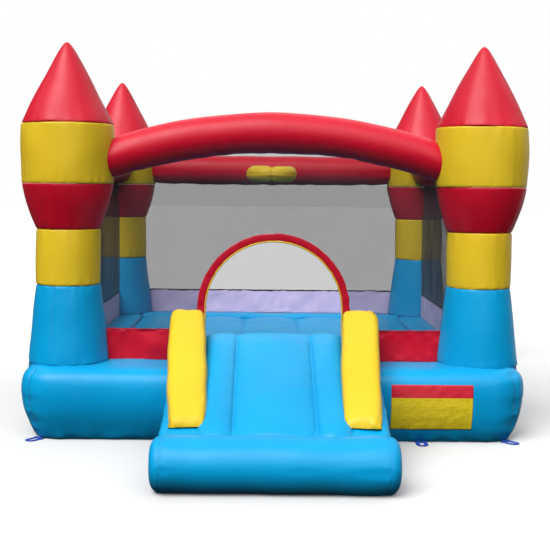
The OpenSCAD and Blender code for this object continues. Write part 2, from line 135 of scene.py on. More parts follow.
def add_mesh(name, verts, faces, uvs, material, nodes=(), body="house", seams=(None, None)):
    """A piece of the object. seams are each vertex's distances from the seams across u and across v."""
    mesh = bpy.data.meshes.new(name)
    mesh.from_pydata(verts.tolist(), [], faces)
    layer = mesh.uv_layers.new(name="UVMap")
    layer.data.foreach_set("uv", np.asarray(uvs, np.float32).ravel())
    for key, values in zip(("seam_u", "seam_v"), seams):
        values = np.ones(len(verts)) if values is None else values
        mesh.attributes.new(key, "FLOAT", "POINT").data.foreach_set("value", values.astype(np.float32))
    mesh.polygons.foreach_set("use_smooth", [True] * len(mesh.polygons))
    mesh.materials.append(material)
    mesh.validate()
    mesh.calc_loop_triangles()
    tris = np.empty(3 * len(mesh.loop_triangles), np.int32)
    mesh.loop_triangles.foreach_get("vertices", tris)
    a, b, c = (verts - verts.mean(axis=0))[tris].reshape(-1, 3, 3).transpose(1, 0, 2)
    if np.sum(a * np.cross(b, c)) < 0:
        mesh.flip_normals()
    obj = bpy.data.objects.new(name, mesh)
    bpy.context.scene.collection.objects.link(obj)
    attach(obj, body)
    if nodes:
        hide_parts(*nodes)
    return obj


def grid(points, uv, wrap=False, close=False, caps=False, flip=False):
    """Vertices, faces and corner UVs of a grid of points, rows by columns.

    wrap joins the last column to the first, close the last row to the first, and caps fill the end rows.
    """
    rows, cols = points.shape[:2]
    verts = points.reshape(-1, 3)
    faces, uvs = [], []
    for i in range(rows if close else rows - 1):
        row, next_row = i * cols, (i + 1) % rows * cols
        for j in range(cols if wrap else cols - 1):
            k = (j + 1) % cols
            quad = [row + j, row + k, next_row + k, next_row + j]
            corner = [uv[i, j], uv[i, j + 1], uv[i + 1, j + 1], uv[i + 1, j]]
            if flip:
                quad, corner = quad[::-1], corner[::-1]
            faces.append(quad)
            uvs.extend(corner)
    if caps:
        for row, inward in ((0, True), (rows - 1, False)):
            ring = list(range(row * cols, row * cols + cols))
            centre = len(verts)
            verts = np.vstack([verts, verts[ring].mean(axis=0)])
            for j in range(cols):
                tri = [ring[j], ring[(j + 1) % cols], centre]
                corner = [uv[row, j], uv[row, j + 1], uv[row, j]]
                if inward != flip:
                    tri, corner = tri[::-1], corner[::-1]
                faces.append(tri)
                uvs.extend(corner)
    return verts, faces, uvs


def between(front, back, uv, seams):
    """A closed solid between two grids of points, joined around their edges."""
    rows, cols = front.shape[:2]
    verts, faces, uvs = grid(front, uv)
    back_verts, back_faces, back_uvs = grid(back, uv, flip=True)
    n = len(verts)
    faces = faces + [[i + n for i in face] for face in back_faces]
    uvs = uvs + back_uvs
    edge = [(0, j) for j in range(cols)] + [(i, cols - 1) for i in range(1, rows)]
    edge += [(rows - 1, j) for j in range(cols - 2, -1, -1)] + [(i, 0) for i in range(rows - 2, 0, -1)]
    for (i, j), (i2, j2) in zip(edge, edge[1:] + edge[:1]):
        a, b = i * cols + j, i2 * cols + j2
        faces.append([a, a + n, b + n, b])
        uvs.extend([uv[i, j], uv[i, j], uv[i2, j2], uv[i2, j2]])
    return np.vstack([verts, back_verts]), faces, uvs, [np.tile(seam.ravel(), 2) for seam in seams]


def thin(points, uv, out, thickness, seams):
    """A closed thin sheet from an open grid of points, thickened evenly along out."""
    half = np.asarray(out, float) * thickness / 2
    return between(points + half, points - half, uv, seams)


def strap(path, side, up, width, thickness, closed=False, corner=4.0, count=16):
    """A band of rounded section along a path, with its width along side and its thickness along up."""
    across, high = squarish(np.linspace(0, TAU, count, endpoint=False), corner)
    w, h = across * width / 2, high * thickness / 2
    side, up = (np.broadcast_to(v, path.shape) for v in (side, up))
    points = path[:, None] + side[:, None] * w[None, :, None] + up[:, None] * h[None, :, None]
    along = run_along(*path.T)
    if closed:
        along = np.append(along, along[-1] + np.linalg.norm(path[-1] - path[0]))
    uv = pairs(along[:, None], np.linspace(0, 2 * width + 2 * thickness, count + 1)[None])
    return grid(points, uv, wrap=True, close=closed, caps=not closed)


# ---- materials ----


STITCH_OFFSET, STITCH_PITCH = 0.011, 0.0075


class Tree:
    """A material under construction, with short names for making its nodes."""

    def __init__(self, name):
        self.material = bpy.data.materials.new(name)
        self.material.use_nodes = True
        self.nodes = self.material.node_tree.nodes
        self.links = self.material.node_tree.links
        self.bsdf = self.nodes["Principled BSDF"]
        self.output = self.nodes["Material Output"]
        self.where = self.add("ShaderNodeTexCoord").outputs["Object"]
        uv = self.add("ShaderNodeUVMap", uv_map="UVMap").outputs["UV"]
        split = self.add("ShaderNodeSeparateXYZ", {"Vector": uv})
        self.u, self.v = split.outputs["X"], split.outputs["Y"]

    def put(self, target, value):
        if isinstance(value, bpy.types.NodeSocket):
            self.links.new(value, target)
        else:
            target.default_value = value

    def add(self, kind, inputs=(), **props):
        node = self.nodes.new(kind)
        for key, value in props.items():
            setattr(node, key, value)
        for key, value in dict(inputs).items():
            self.put(node.inputs[key], value)
        return node

    def math(self, operation, a, b=0.0, clamp=False):
        return self.add("ShaderNodeMath", {0: a, 1: b}, operation=operation, use_clamp=clamp).outputs[0]

    def attribute(self, name):
        return self.add("ShaderNodeAttribute", attribute_name=name).outputs["Fac"]

    def spread(self, value, low, high, to_low, to_high):
        """value, with low and high taken to to_low and to_high and no further."""
        limits = {"From Min": low, "From Max": high, "To Min": to_low, "To Max": to_high}
        return self.add("ShaderNodeMapRange", {"Value": value, **limits}).outputs["Result"]

    def noise(self, scale, detail=3.0, roughness=0.5):
        inputs = {"Vector": self.where, "Scale": scale, "Detail": detail, "Roughness": roughness}
        return self.add("ShaderNodeTexNoise", inputs).outputs["Fac"]

    def mottle(self, to_low, to_high, *noise):
        """Noise whose usual range is taken to to_low and to_high."""
        return self.spread(self.noise(*noise), 0.3, 0.7, to_low, to_high)

    def weave(self, pitch):
        """Height, from -1 to 1, of a plain weave whose threads are pitch metres apart."""
        a, b = (self.math("SINE", self.math("MULTIPLY", w, TAU / (2 * pitch))) for w in (self.u, self.v))
        return self.math("MULTIPLY", a, b)

    def stitches(self, seam, along):
        """1 on the threads of a row of stitches beside a seam."""
        off = self.math("ABSOLUTE", self.math("SUBTRACT", seam, STITCH_OFFSET))
        line = self.spread(off, 0.0007, 0.0013, 1.0, 0.0)
        gap = self.math("GREATER_THAN", self.math("FRACT", self.math("DIVIDE", along, STITCH_PITCH)), 0.3)
        return self.math("MULTIPLY", line, gap, clamp=True)

    def mix(self, factor, a, b):
        node = self.add("ShaderNodeMix", data_type="RGBA", blend_type="MIX")
        for index, value in ((0, factor), (6, a), (7, b)):
            self.put(node.inputs[index], value)
        return node.outputs[2]

    def dress(self, sockets, height=None, strength=1.0):
        """Set the shader's own sockets, and its bump from a height in metres."""
        if height is not None:
            bump = self.add("ShaderNodeBump", {"Height": height, "Strength": strength, "Distance": 1.0})
            sockets["Normal"] = bump.outputs["Normal"]
        for key, value in sockets.items():
            self.put(self.bsdf.inputs[key], value)
        return self.material


def dimmed(colour, share):
    return tuple(share * c for c in colour[:3]) + (1.0,)


def fabric(name, colour, shade, roughness=0.40, coat=0.05, gloss=0.14):
    """Coated fabric: a fine weave under a soft gloss, faint creases, painted shade darkening the colour beside
    its seams, and stitches along them.
    """
    t = Tree(name)
    seam_u, seam_v = t.attribute("seam_u"), t.attribute("seam_v")
    seam = t.math("MINIMUM", seam_u, seam_v)
    threads = t.weave(0.0011)
    stitches = t.math("MAXIMUM", t.stitches(seam_u, t.u), t.stitches(seam_v, t.v))
    base = t.mix(t.spread(t.noise(2.2, 2.0), 0.35, 0.65, 0.0, 0.28), colour, shade)
    base = t.mix(t.mottle(0.0, 0.07, 34.0, 4.0, 0.6), base, shade)
    base = t.mix(t.spread(threads, -1.0, 1.0, 0.05, 0.0), base, shade)
    # Painted shade: the colour darkens by up to 40% within 10 mm of a seam, where the fabric creases in.
    base = t.mix(t.spread(seam, 0.0, 0.010, 0.40, 0.0), base, shade)
    base = t.mix(t.math("MULTIPLY", stitches, 0.35), base, dimmed(shade, 0.55))
    worn = t.spread(seam, 0.0, 0.02, 0.10, 0.0)
    rough = t.math("ADD", t.mottle(roughness - 0.05, roughness + 0.07, 9.0), worn)
    creases = t.math("MULTIPLY", t.noise(15.0, 3.0, 0.55), 0.0022)
    height = t.math("ADD", creases, t.math("MULTIPLY", threads, 0.00005))
    height = t.math("ADD", height, t.math("MULTIPLY", stitches, 0.0004))
    return t.dress({"Base Color": base, "Roughness": rough, "Specular IOR Level": gloss, "Coat Weight": coat,
                    "Coat Roughness": 0.28, "Sheen Weight": 0.02, "Sheen Roughness": 0.45}, height, 0.55)


def netting(name, colour, cover):
    """Fine net: threads cover this share of the light, evenly, because the mesh is finer than a pixel."""
    t = Tree(name)
    clear = t.add("ShaderNodeBsdfTransparent", {"Color": (1.0, 1.0, 1.0, 1.0)})
    mix = t.add("ShaderNodeMixShader", {0: cover, 1: clear.outputs[0], 2: t.bsdf.outputs[0]})
    t.put(t.output.inputs["Surface"], mix.outputs[0])
    return t.dress({"Base Color": t.mix(t.mottle(0.0, 1.0, 5.0), colour, dimmed(colour, 1.7)),
                    "Roughness": t.spread(t.weave(0.0022), -1.0, 1.0, 0.6, 0.8),
                    "Specular IOR Level": 0.1, "Sheen Weight": 0.05})


def webbing(name, colour, shade):
    """Woven polyester tape with ribs across it."""
    t = Tree(name)
    ribs = t.weave(0.0016)
    base = t.mix(t.spread(ribs, -1.0, 1.0, 0.6, 0.0), colour, shade)
    base = t.mix(t.mottle(0.0, 0.3, 30.0), base, shade)
    return t.dress({"Base Color": base, "Roughness": t.mottle(0.55, 0.75, 60.0),
                    "Specular IOR Level": 0.2, "Sheen Weight": 0.04}, t.math("MULTIPLY", ribs, 0.0003), 0.8)


def patch(name):
    """Printed patch: a red head over a yellow field of plain ruled panels, with no lettering."""
    t = Tree(name)
    lines = t.math("GREATER_THAN", t.math("FRACT", t.math("DIVIDE", t.v, 0.0125)), 0.55)
    inside = t.math("MULTIPLY", t.math("GREATER_THAN", t.u, 0.018), t.math("LESS_THAN", t.u, 0.412))
    worn = t.spread(t.noise(55.0, 2.0), 0.45, 0.55, 0.0, 0.4)
    rule = t.math("MULTIPLY", t.math("MULTIPLY", lines, inside), worn)
    field = t.mix(rule, (0.520, 0.400, 0.014, 1), (0.230, 0.160, 0.010, 1))
    head = t.mix(t.math("MULTIPLY", rule, 0.5), (0.400, 0.008, 0.026, 1), (0.460, 0.080, 0.080, 1))
    base = t.mix(t.math("GREATER_THAN", t.v, 0.172), field, head)
    return t.dress({"Base Color": t.mix(t.mottle(0.0, 0.12, 6.0), base, (0.200, 0.110, 0.010, 1)),
                    "Roughness": t.mottle(0.32, 0.45, 20.0), "Specular IOR Level": 0.2, "Coat Weight": 0.06},
                   t.math("MULTIPLY", t.weave(0.0011), 0.00003), 0.6)


BLUE = fabric("blue_fabric", (0.000, 0.222, 0.435, 1), (0.000, 0.160, 0.350, 1))
YELLOW = fabric("yellow_fabric", (0.500, 0.350, 0.016, 1), (0.430, 0.270, 0.006, 1))
RED = fabric("red_fabric", (0.400, 0.002, 0.016, 1), (0.290, 0.000, 0.009, 1), roughness=0.44, gloss=0.20)
# Painted reflection: the bands are pale fabric, and their lavender tint stands for the blue cast thrown on
# them by the floor and towers around them.
PALE_BAND_PAINTED_REFLECTION = fabric("lavender_fabric", (0.430, 0.360, 0.520, 1), (0.370, 0.290, 0.460, 1),
                  roughness=0.5, coat=0.0)
NET = netting("black_net", (0.012, 0.012, 0.014, 1), 0.270)
SIDE_NET = netting("black_side_net", (0.010, 0.011, 0.014, 1), 0.600)
HEM = webbing("black_binding", (0.020, 0.004, 0.008, 1), (0.010, 0.003, 0.005, 1))
BINDING = fabric("red_binding", (0.300, 0.001, 0.012, 1), (0.230, 0.000, 0.008, 1), roughness=0.5, coat=0.0)
PIPING = fabric("yellow_piping", (0.440, 0.280, 0.018, 1), (0.360, 0.210, 0.010, 1), roughness=0.45, coat=0.0)
LABEL = patch("label")
WEBBING = webbing("blue_webbing", (0.001, 0.045, 0.360, 1), (0.000, 0.018, 0.200, 1))
BAFFLE = fabric("baffle_fabric", (0.300, 0.310, 0.320, 1), (0.240, 0.250, 0.260, 1), roughness=0.6, coat=0.0)
GROUND = fabric("ground_fabric", (0.005, 0.080, 0.220, 1), (0.003, 0.055, 0.170, 1), roughness=0.6, coat=0.0)

# ---- towers ----


def pleats(around, gap, seed, depth=0.0024, reach=0.040, size=0.055):
    """Puckers that run into a seam: around are points along the seam and gap is the distance from it."""
    fan = waves(around, size, seed)
    fan = fan + 0.6 * waves(around, size * 0.45, seed + 1) * np.exp(-gap / (0.4 * reach))
    return depth * fan * np.exp(-gap / reach) * (1 - np.exp(-gap / 0.004))


def seam_pinch(gap):
    """How far a tower's fabric draws in beside a seam."""
    return 0.0038 * np.exp(-gap / 0.004) + 0.0012 * np.exp(-gap / 0.02)


def tube_pinch(gap):
    """How far an air tube draws in beside its end."""
    return 0.007 * np.exp(-gap / 0.008) + 0.004 * np.exp(-gap / 0.035)


def panel(name, centre, low_r, high_r, low, high, bulge, material, seed, foot=0.0, gore=0.0):
    """One sewn ring of a tower. Its ends turn in at the seams and its middle swells by bulge."""
    cols, rows = 168, 56
    height = high - low
    t = spaced(rows, 0.75)
    a = np.linspace(0, TAU, cols + 1)
    theta, along = a[None, :-1], t[:, None]
    gap = from_ends(along, height)
    r = low_r + (high_r - low_r) * along + bulge * np.sin(math.pi * along) ** 0.9
    r = r - seam_pinch(gap)
    around = polar(low_r, theta, 0)
    r = r + pleats(around, along * height, seed, 0.0017) * (1 if foot == 0 else 1.5)
    r = r + pleats(around, (1 - along) * height, seed + 7, 0.0017)
    ring = polar(r, theta, low + along * height, centre)
    r = r + 0.0016 * waves(ring, 0.30, seed + 3)
    turn = angle_between(theta, gore) * r
    uneven_seam = 1 + 0.5 * waves(ring, 0.05, seed + 4)
    r = r - 0.0014 * np.exp(-turn / 0.005) - 0.0005 * np.exp(-turn / 0.03) * uneven_seam
    z = low + along * height + 0 * theta
    z = z + np.where(along > 0.5, -0.0004, 0.0004)
    top = [(r[-1] - 0.014, z[-1]), (r[-1] - 0.030, z[-1] - 0.001)]
    bottom = [(r[0] - 0.030, z[0] + 0.001), (r[0] - 0.014, z[0])]
    if foot:
        bottom = [(r[0] + 0.004, z[0] - foot), (r[0] + 0.004, z[0] - 0.5 * foot)]
    r = np.vstack([row[0] for row in bottom] + [r] + [row[0] for row in top])
    z = np.vstack([row[1] for row in bottom] + [z] + [row[1] for row in top])
    points = polar(r, theta, z, centre)
    v = np.concatenate([[-0.03, -0.014], t * height, [height + 0.014, height + 0.03]])
    uv = pairs((a * (low_r + high_r) / 2)[None], v[:, None])
    verts, faces, uvs = grid(points, uv, wrap=True, caps=True)
    rows_gap = np.concatenate([[0, 0], gap[:, 0], [0, 0]])
    seam = np.append(np.broadcast_to(rows_gap[:, None], r.shape).ravel(), [0, 0])
    side = np.append(np.vstack([turn[:1], turn[:1], turn, turn[-1:], turn[-1:]]).ravel(), [1, 1])
    add_mesh(name, verts, faces, uvs, material, [name], seams=(seam, side))


TIP_BLUNT = 0.048


def cone(name, centre, seed, gore):
    """A tower's pointed roof, with a slightly rounded tip and two long seams."""
    cols, rows = 168, 76
    rise = TIP - DRUM_TOP
    near_tip = 1 - (1 - np.linspace(0, 1, rows - 59)[1:]) ** 2
    t = np.concatenate([spaced(60, 0.6) * 0.86, 0.86 + 0.14 * near_tip])
    a = np.linspace(0, TAU, cols + 1)
    theta, along = a[None, :-1], t[:, None]
    drop = np.maximum((1 - along) * rise, 1e-7)
    full, here = (d ** 2 + 2 * TIP_BLUNT * d for d in (rise, drop))
    r = DRUM_R * np.sqrt(here / full) + 0 * theta
    r = r + 0.004 * np.sin(math.pi * along) ** 0.8
    gap = along * rise
    r = r - seam_pinch(gap)
    cap = np.clip(drop / 0.05, 0, 1)
    around = polar(DRUM_R, theta, 0)
    slack = np.clip(1 - along / 0.9, 0, 1)
    r = r + pleats(around, gap, seed + 7, 0.0018)
    ring = polar(r, theta, gap, centre)
    r = r + 0.0022 * waves(ring, 0.28, seed + 3) * (0.3 + slack) * cap
    turn = np.full_like(r, 1.0)
    for step in range(2):
        turn = np.minimum(turn, angle_between(theta, gore + step * math.pi) * np.maximum(r, 0.01))
    r = r - (0.0016 * np.exp(-turn / 0.005) + 0.0008 * np.exp(-turn / 0.03)) * cap * (0.3 + 0.7 * slack)
    r = np.maximum(r, 0.0004)
    z = DRUM_TOP + 0.0004 + gap + 0 * theta
    r = np.vstack([r[0] - 0.030, r[0] - 0.014, r])
    z = np.vstack([z[0] + 0.001, z[0], z])
    points = polar(r, theta, z, centre)
    v = np.concatenate([[-0.03, -0.014], t * rise * 1.11])
    uv = pairs((a * 0.14)[None], v[:, None])
    verts, faces, uvs = grid(points, uv, wrap=True, caps=True)
    seam = np.append(np.broadcast_to(np.concatenate([[0, 0], gap[:, 0]])[:, None], r.shape).ravel(), [0, 1])
    side = np.append(np.vstack([turn[:1], turn[:1], turn]).ravel(), [1, 1])
    add_mesh(name, verts, faces, uvs, RED, [name], seams=(seam, side))


TOWERS = {"front_left": (-1, -1), "front_right": (1, -1), "rear_left": (-1, 1), "rear_right": (1, 1)}
RINGS = (
    ("column", FOOT_R, NECK_R, BASE_TOP + 0.004, COLUMN_TOP, 0.002, BLUE, 0.5),
    ("neck", NECK_R, NECK_R, COLUMN_TOP, NECK_TOP, 0.0025, YELLOW, -0.4),
    ("taper", NECK_R, DRUM_R, NECK_TOP, DRUM_LOW, 0.007, RED, 0.3),
    ("drum", DRUM_R, DRUM_R, DRUM_LOW, DRUM_TOP, 0.005, YELLOW, -0.2),
)
for k, (place, (sx, sy)) in enumerate(TOWERS.items()):
    at, away, seed = (sx * TOWER_X, sy * TOWER_Y), math.atan2(sy, sx), 100 * (k + 1)
    for step, (part, low_r, high_r, low, high, bulge, material, turned) in enumerate(RINGS):
        foot = 0.052 if part == "column" else 0.0
        panel(f"{part}_{place}", at, low_r, high_r, low, high, bulge, material, seed + 7 * step, foot,
              away + turned)
    cone(f"cone_{place}", at, seed + 21, away + 0.2)

# ---- beams ----


def tube(name, radius, reach_to, centre_height, place, seed, wrinkle, rows=150, cols=96):
    """An air tube whose ends run into two drums. reach_to is half the distance between the towers."""
    a = np.linspace(0, TAU, cols + 1)
    phi = a[None, :-1]
    t = spaced(rows, 0.55)[:, None]
    lateral = radius * np.sin(phi)
    end = reach_to - np.sqrt((DRUM_R - 0.004) ** 2 - lateral ** 2)
    along = (2 * t - 1) * end
    gap = from_ends(t, 2 * (reach_to - DRUM_R))
    ring = xyz(along, lateral, radius * np.cos(phi))
    low = np.clip(-np.cos(phi), 0, 1)
    under = angle_between(phi, math.pi) * radius
    r = radius + 0.004 * np.sin(math.pi * t) ** 0.5 - tube_pinch(gap)
    around = polar(radius, phi, 0 * phi)
    r = r + pleats(np.broadcast_to(around, ring.shape), gap, seed, 0.0022, 0.060, 0.060)
    r = r + 0.0018 * waves(ring, 0.35, seed + 3)
    folds = waves(xyz(along, 0.15 * lateral, 0 * phi), 0.060, seed + 5)
    r = r + wrinkle * folds * low ** 1.3 * (1 - np.exp(-gap / 0.05))
    r = r - 0.003 * np.exp(-under / 0.008)
    points = place(along, r * np.sin(phi), r * np.cos(phi), centre_height)
    uv = pairs((a * radius)[None], (t - 0.5) * 2 * reach_to)
    verts, faces, uvs = grid(points, uv, wrap=True, caps=True)
    seam = np.append(np.broadcast_to(gap, r.shape).ravel(), [0, 0])
    side = np.append(np.broadcast_to(under, r.shape).ravel(), [1, 1])
    add_mesh(name, verts, faces, uvs, RED, [name], seams=(seam, side))


def arch_place(along, lateral, radial, centre):
    return xyz(along, -TOWER_Y - lateral, centre + np.sqrt((ARCH_CURVE + radial) ** 2 - along ** 2))


def rear_place(along, lateral, radial, centre):
    return xyz(along, TOWER_Y - lateral, centre + radial)


tube("front_arch", ARCH_R, TOWER_X, ARCH_CREST - ARCH_CURVE, arch_place, 901, 0.0010, rows=200)
tube("rear_beam", BEAM_R, TOWER_X, BEAM_Z, rear_place, 921, 0.0014)
tube("left_beam", BEAM_R, TOWER_Y, BEAM_Z, lambda a, l, r, c: xyz(-TOWER_X + l, a, c + r), 940, 0.0014)
tube("right_beam", BEAM_R, TOWER_Y, BEAM_Z, lambda a, l, r, c: xyz(TOWER_X + l, a, c + r), 942, 0.0014)

# ---- base ----

# The base tube's section: its wall is an arc, and its top is a rounded corner about a point.
WALL_R, WALL_Z = 0.510, 0.266
ROLL_U, ROLL_Z, ROLL_WIDE, ROLL_HIGH, ROLL_POWER = 0.050, 0.250, 0.150, 0.141, 3.1


def wall_u(z):
    """How far the base's outer wall stands out from the corner's axis at a height."""
    return CORNER - WALL_R + np.sqrt(WALL_R ** 2 - (z - WALL_Z) ** 2)


def rim_profile():
    """Section of a base tube from its top edge at the floor, over the outside and down to the foot seam."""
    u = np.concatenate([np.linspace(-CORNER, -0.17, 8)[:-1], np.linspace(-0.17, ROLL_U, 16)[:-1]])
    z = ROLL_Z + ROLL_HIGH - 0.016 * np.exp(-(u + CORNER) / 0.012)
    a = np.linspace(math.pi / 2, 0, 26)
    roll_u = ROLL_U + ROLL_WIDE * np.cos(a) ** (2 / ROLL_POWER)
    roll_z = ROLL_Z + ROLL_HIGH * np.sin(a) ** (2 / ROLL_POWER)
    low = np.linspace(ROLL_Z, 0.006, 24)[1:]
    low_u = wall_u(low) - 0.006 * np.exp(-(low - 0.006) / 0.010)
    return np.concatenate([u, roll_u, low_u, [0.118]]), np.concatenate([z, roll_z, low, [0.0005]])


def base_swell(flat, from_foot, z):
    """How far the base's wall swells and puckers, which the patch on it repeats."""
    swell = 0.0028 * waves(flat, 0.45, 77) * ease(z / 0.08)
    return swell + pleats(flat * [1, 1, 0], from_foot, 41, 0.0034, 0.045, 0.060)


def rim(name, half_length, place):
    """One base tube. place turns its own frame, with the outer wall towards -Y, into the row frame."""
    pu, pz = rim_profile()
    arc = 22
    s = np.linspace(-1, 1, 181)
    bend = np.linspace(math.pi / 4, 0, arc + 1)
    axis_x = np.concatenate([np.full(arc, -half_length), s * half_length, np.full(arc, half_length)])
    turn = np.concatenate([-bend[:-1], 0 * s, bend[::-1][1:]])
    rings = len(turn)
    path = run_along(axis_x, turn * CORNER)
    mitre = np.minimum(path, path[-1] - path)
    inner_x = (2 * path / path[-1] - 1) * (half_length - CORNER)
    edge_x = axis_x + ROLL_U * np.sin(turn)
    edge_y = -ROLL_U * np.cos(turn)
    u = pu[None]
    share = np.clip((u + CORNER) / (ROLL_U + CORNER), 0, 1)
    outer_x = axis_x[:, None] + u * np.sin(turn)[:, None]
    outer_y = -u * np.cos(turn)[:, None]
    x = np.where(u < ROLL_U, inner_x[:, None] * (1 - share) + edge_x[:, None] * share, outer_x)
    y = np.where(u < ROLL_U, CORNER * (1 - share) + edge_y[:, None] * share, outer_y)
    z = pz[None] + 0 * x
    flat = place(x, y, z)
    du, dz = np.gradient(pu), np.gradient(pz)
    size = np.hypot(du, dz)
    nu, nz = -dz / size, du / size
    nx, ny = nu[None] * np.sin(turn)[:, None], -nu[None] * np.cos(turn)[:, None]
    girth = run_along(pu, pz)
    gap = mitre[:, None] + 0 * x
    from_top = girth[None] + 0 * x
    from_foot = girth[-1] - from_top
    around = xyz(0 * x, from_top, 0)
    push = base_swell(flat, from_foot, z)
    push = push - tube_pinch(gap)
    push = push + pleats(around, gap, 31, 0.0036, 0.060, 0.060)
    push = push + pleats(flat * [1, 1, 0], from_top, 51, 0.0022, 0.040, 0.060)
    push = np.where(z < 0.004, 0, push)
    x, y, z = x + nx * push, y + ny * push, z + nz[None] * push
    x = np.concatenate([x, inner_x[:, None], inner_x[:, None]], axis=1)
    y = np.concatenate([y, np.full((rings, 2), CORNER)], axis=1)
    z = np.concatenate([z, np.full((rings, 1), 0.0005), np.full((rings, 1), 0.34)], axis=1)
    points = place(x, y, z)
    lengths = np.concatenate([girth, [girth[-1] + 0.32, girth[-1] + 0.66, girth[-1] + 0.7]])
    uv = pairs(path[:, None], lengths[None])
    verts, faces, uvs = grid(points, uv, wrap=True, caps=True)
    seam = np.minimum(from_foot, from_top)
    seam_u = np.concatenate([seam, np.zeros((rings, 2))], axis=1).ravel()
    seam_v = np.concatenate([gap, gap[:, -2:]], axis=1).ravel()
    add_mesh(name, verts, faces, uvs, BLUE, [name],
             seams=(np.append(seam_u, [1, 1]), np.append(seam_v, [0, 0])))


MID_Y = (FRONT_FACE + REAR_FACE) / 2
LONG_X, LONG_Y = HALF_WIDTH - CORNER, (REAR_FACE - FRONT_FACE) / 2 - CORNER
rim("base_front", LONG_X, lambda x, y, z: xyz(x, FRONT_FACE + CORNER + y, z))
rim("base_rear", LONG_X, lambda x, y, z: xyz(-x, REAR_FACE - CORNER - y, z))
rim("base_left", LONG_Y, lambda x, y, z: xyz(-HALF_WIDTH + CORNER + y, MID_Y - x, z))
rim("base_right", LONG_Y, lambda x, y, z: xyz(HALF_WIDTH - CORNER - y, MID_Y + x, z))

# ---- bounce floor, baffles and ground sheet ----


def lobes(x, width, power=0.62):
    """Height from 0 to 1 of a channel of this width, across its middle at x 0."""
    return np.clip(1 - (2 * x / width) ** 2, 0, 1) ** power


def pillow(name, half_x, front, rear, low, top, count, crown, material, seed):
    """A floor pad with lengthwise channels that close into pillow ends."""
    nx, ny = 241, 141
    x = np.linspace(-half_x, half_x, nx)[None]
    y = front + (rear - front) * spaced(ny, 0.6)[:, None]
    width = 2 * half_x / count
    inner = (x + half_x) % width - width / 2
    inner = np.where(np.isclose(np.abs(x), half_x), width / 2, inner)
    gap_x = width / 2 - np.abs(inner) + 0 * y
    gap_y = np.minimum(y - front, rear - y) + 0 * x
    end = np.sqrt(np.clip(1 - (1 - np.clip(gap_y / 0.14, 0, 1)) ** 2, 0, 1))
    reach = np.clip(gap_y / 0.10, 0, 1)
    side = lobes(inner / (0.90 + 0.10 * reach), width)
    flat = xyz(x, y, 0 * x * y)
    height = crown * side * end
    height = height + pleats(flat * [0, 1, 0], gap_x, seed, 0.0030, 0.045, 0.075) * end
    height = height + pleats(flat * [1, 0, 0], gap_y, seed + 2, 0.0026, 0.050, 0.060)
    height = height + 0.0015 * waves(flat, 0.35, seed + 4) * end
    z = top - crown + height
    x, y = np.broadcast_arrays(x, y)
    points = xyz(x, y, z)
    uv = pairs(y, x)
    bottom = xyz(x, y, np.full(x.shape, low))
    verts, faces, uvs, seams = between(points, bottom, uv, (gap_x, gap_y))
    obj = add_mesh(name, verts, faces, uvs, material, [name], seams=seams)


pillow("bounce_floor", FLOOR_X, FLOOR_FRONT, FLOOR_REAR, 0.006, BASE_TOP + 0.002, 5, 0.028, BLUE, 61)


def flat_sheet(name, corner, across, up, normal, size, count, thickness, material, seed, nodes, ripple):
    """A thin rectangle of cloth that starts at corner and runs along across and up."""
    a = np.linspace(0, 1, count[0])[None, :, None]
    b = np.linspace(0, 1, count[1])[:, None, None]
    across, up, normal, corner = (np.array(v, float) for v in (across, up, normal, corner))
    p = corner + across * size[0] * a + up * size[1] * b
    edge_v, edge_u = np.minimum(a, 1 - a) * size[0], np.minimum(b, 1 - b) * size[1]
    p = p + normal * (ripple * waves(p, 0.22, seed)[..., None] * ease(np.minimum(edge_u, edge_v) / 0.05))
    uv = pairs(a[..., 0] * size[0], b[..., 0] * size[1])
    seams = [np.broadcast_to(edge[..., 0], p.shape[:2]) for edge in (edge_u, edge_v)]
    verts, faces, uvs, seams = thin(p, uv, normal, thickness, seams)
    obj = add_mesh(name, verts, faces, uvs, material, nodes, seams=seams)


def baffle(name, corner, size, count, seed, nodes, ripple):
    """An upright web of cloth inside an air chamber, running lengthwise."""
    flat_sheet(name, corner, (0, 1, 0), (0, 0, 1), (1, 0, 0), size, count, 0.0016, BAFFLE, seed,
               nodes, ripple)


flat_sheet("ground_sheet", (-FLOOR_X, FLOOR_FRONT, 0.0026), (1, 0, 0), (0, 1, 0), (0, 0, 1), (1.92, 1.91),
           (60, 60), 0.002, GROUND, 71, ["ground_sheet"], 0.0004)
for k in range(4):
    baffle(f"floor_baffle_{k + 1}", (-FLOOR_X + 0.384 * (k + 1), FLOOR_FRONT + 0.15, 0.010), (1.61, 0.335),
           (90, 20), 72 + k, [] if k else ["floor_baffles"], 0.003)

# ---- slide ----


def ramp_line(count_back=10, count_arc=22, count_slope=150):
    """The ramp's top in side view, from its back over the crest to the bolster, with outward normals."""
    centre_z = CREST_Z - CREST_R
    y = [np.full(count_back, SLIDE_BACK)]
    z = [np.linspace(BASE_TOP + 0.012, centre_z, count_back + 1)[:-1]]
    a = np.linspace(0, math.pi / 2 + SLOPE, count_arc)
    y.append(CREST_Y + CREST_R * np.cos(a))
    z.append(centre_z + CREST_R * np.sin(a))
    t = spaced(count_slope, 0.5)[1:]
    y.append(y[-1][-1] + (RAMP_END - y[-1][-1]) * t)
    z.append(z[-1][-1] + (RAMP_FOOT + 0.004 - z[-1][-1]) * t)
    y, z = np.concatenate(y), np.concatenate(z)
    ny = np.concatenate([np.ones(count_back), np.cos(a), np.full(len(t), -math.sin(SLOPE))])
    nz = np.concatenate([np.zeros(count_back), np.sin(a), np.full(len(t), math.cos(SLOPE))])
    return y, z, ny, nz


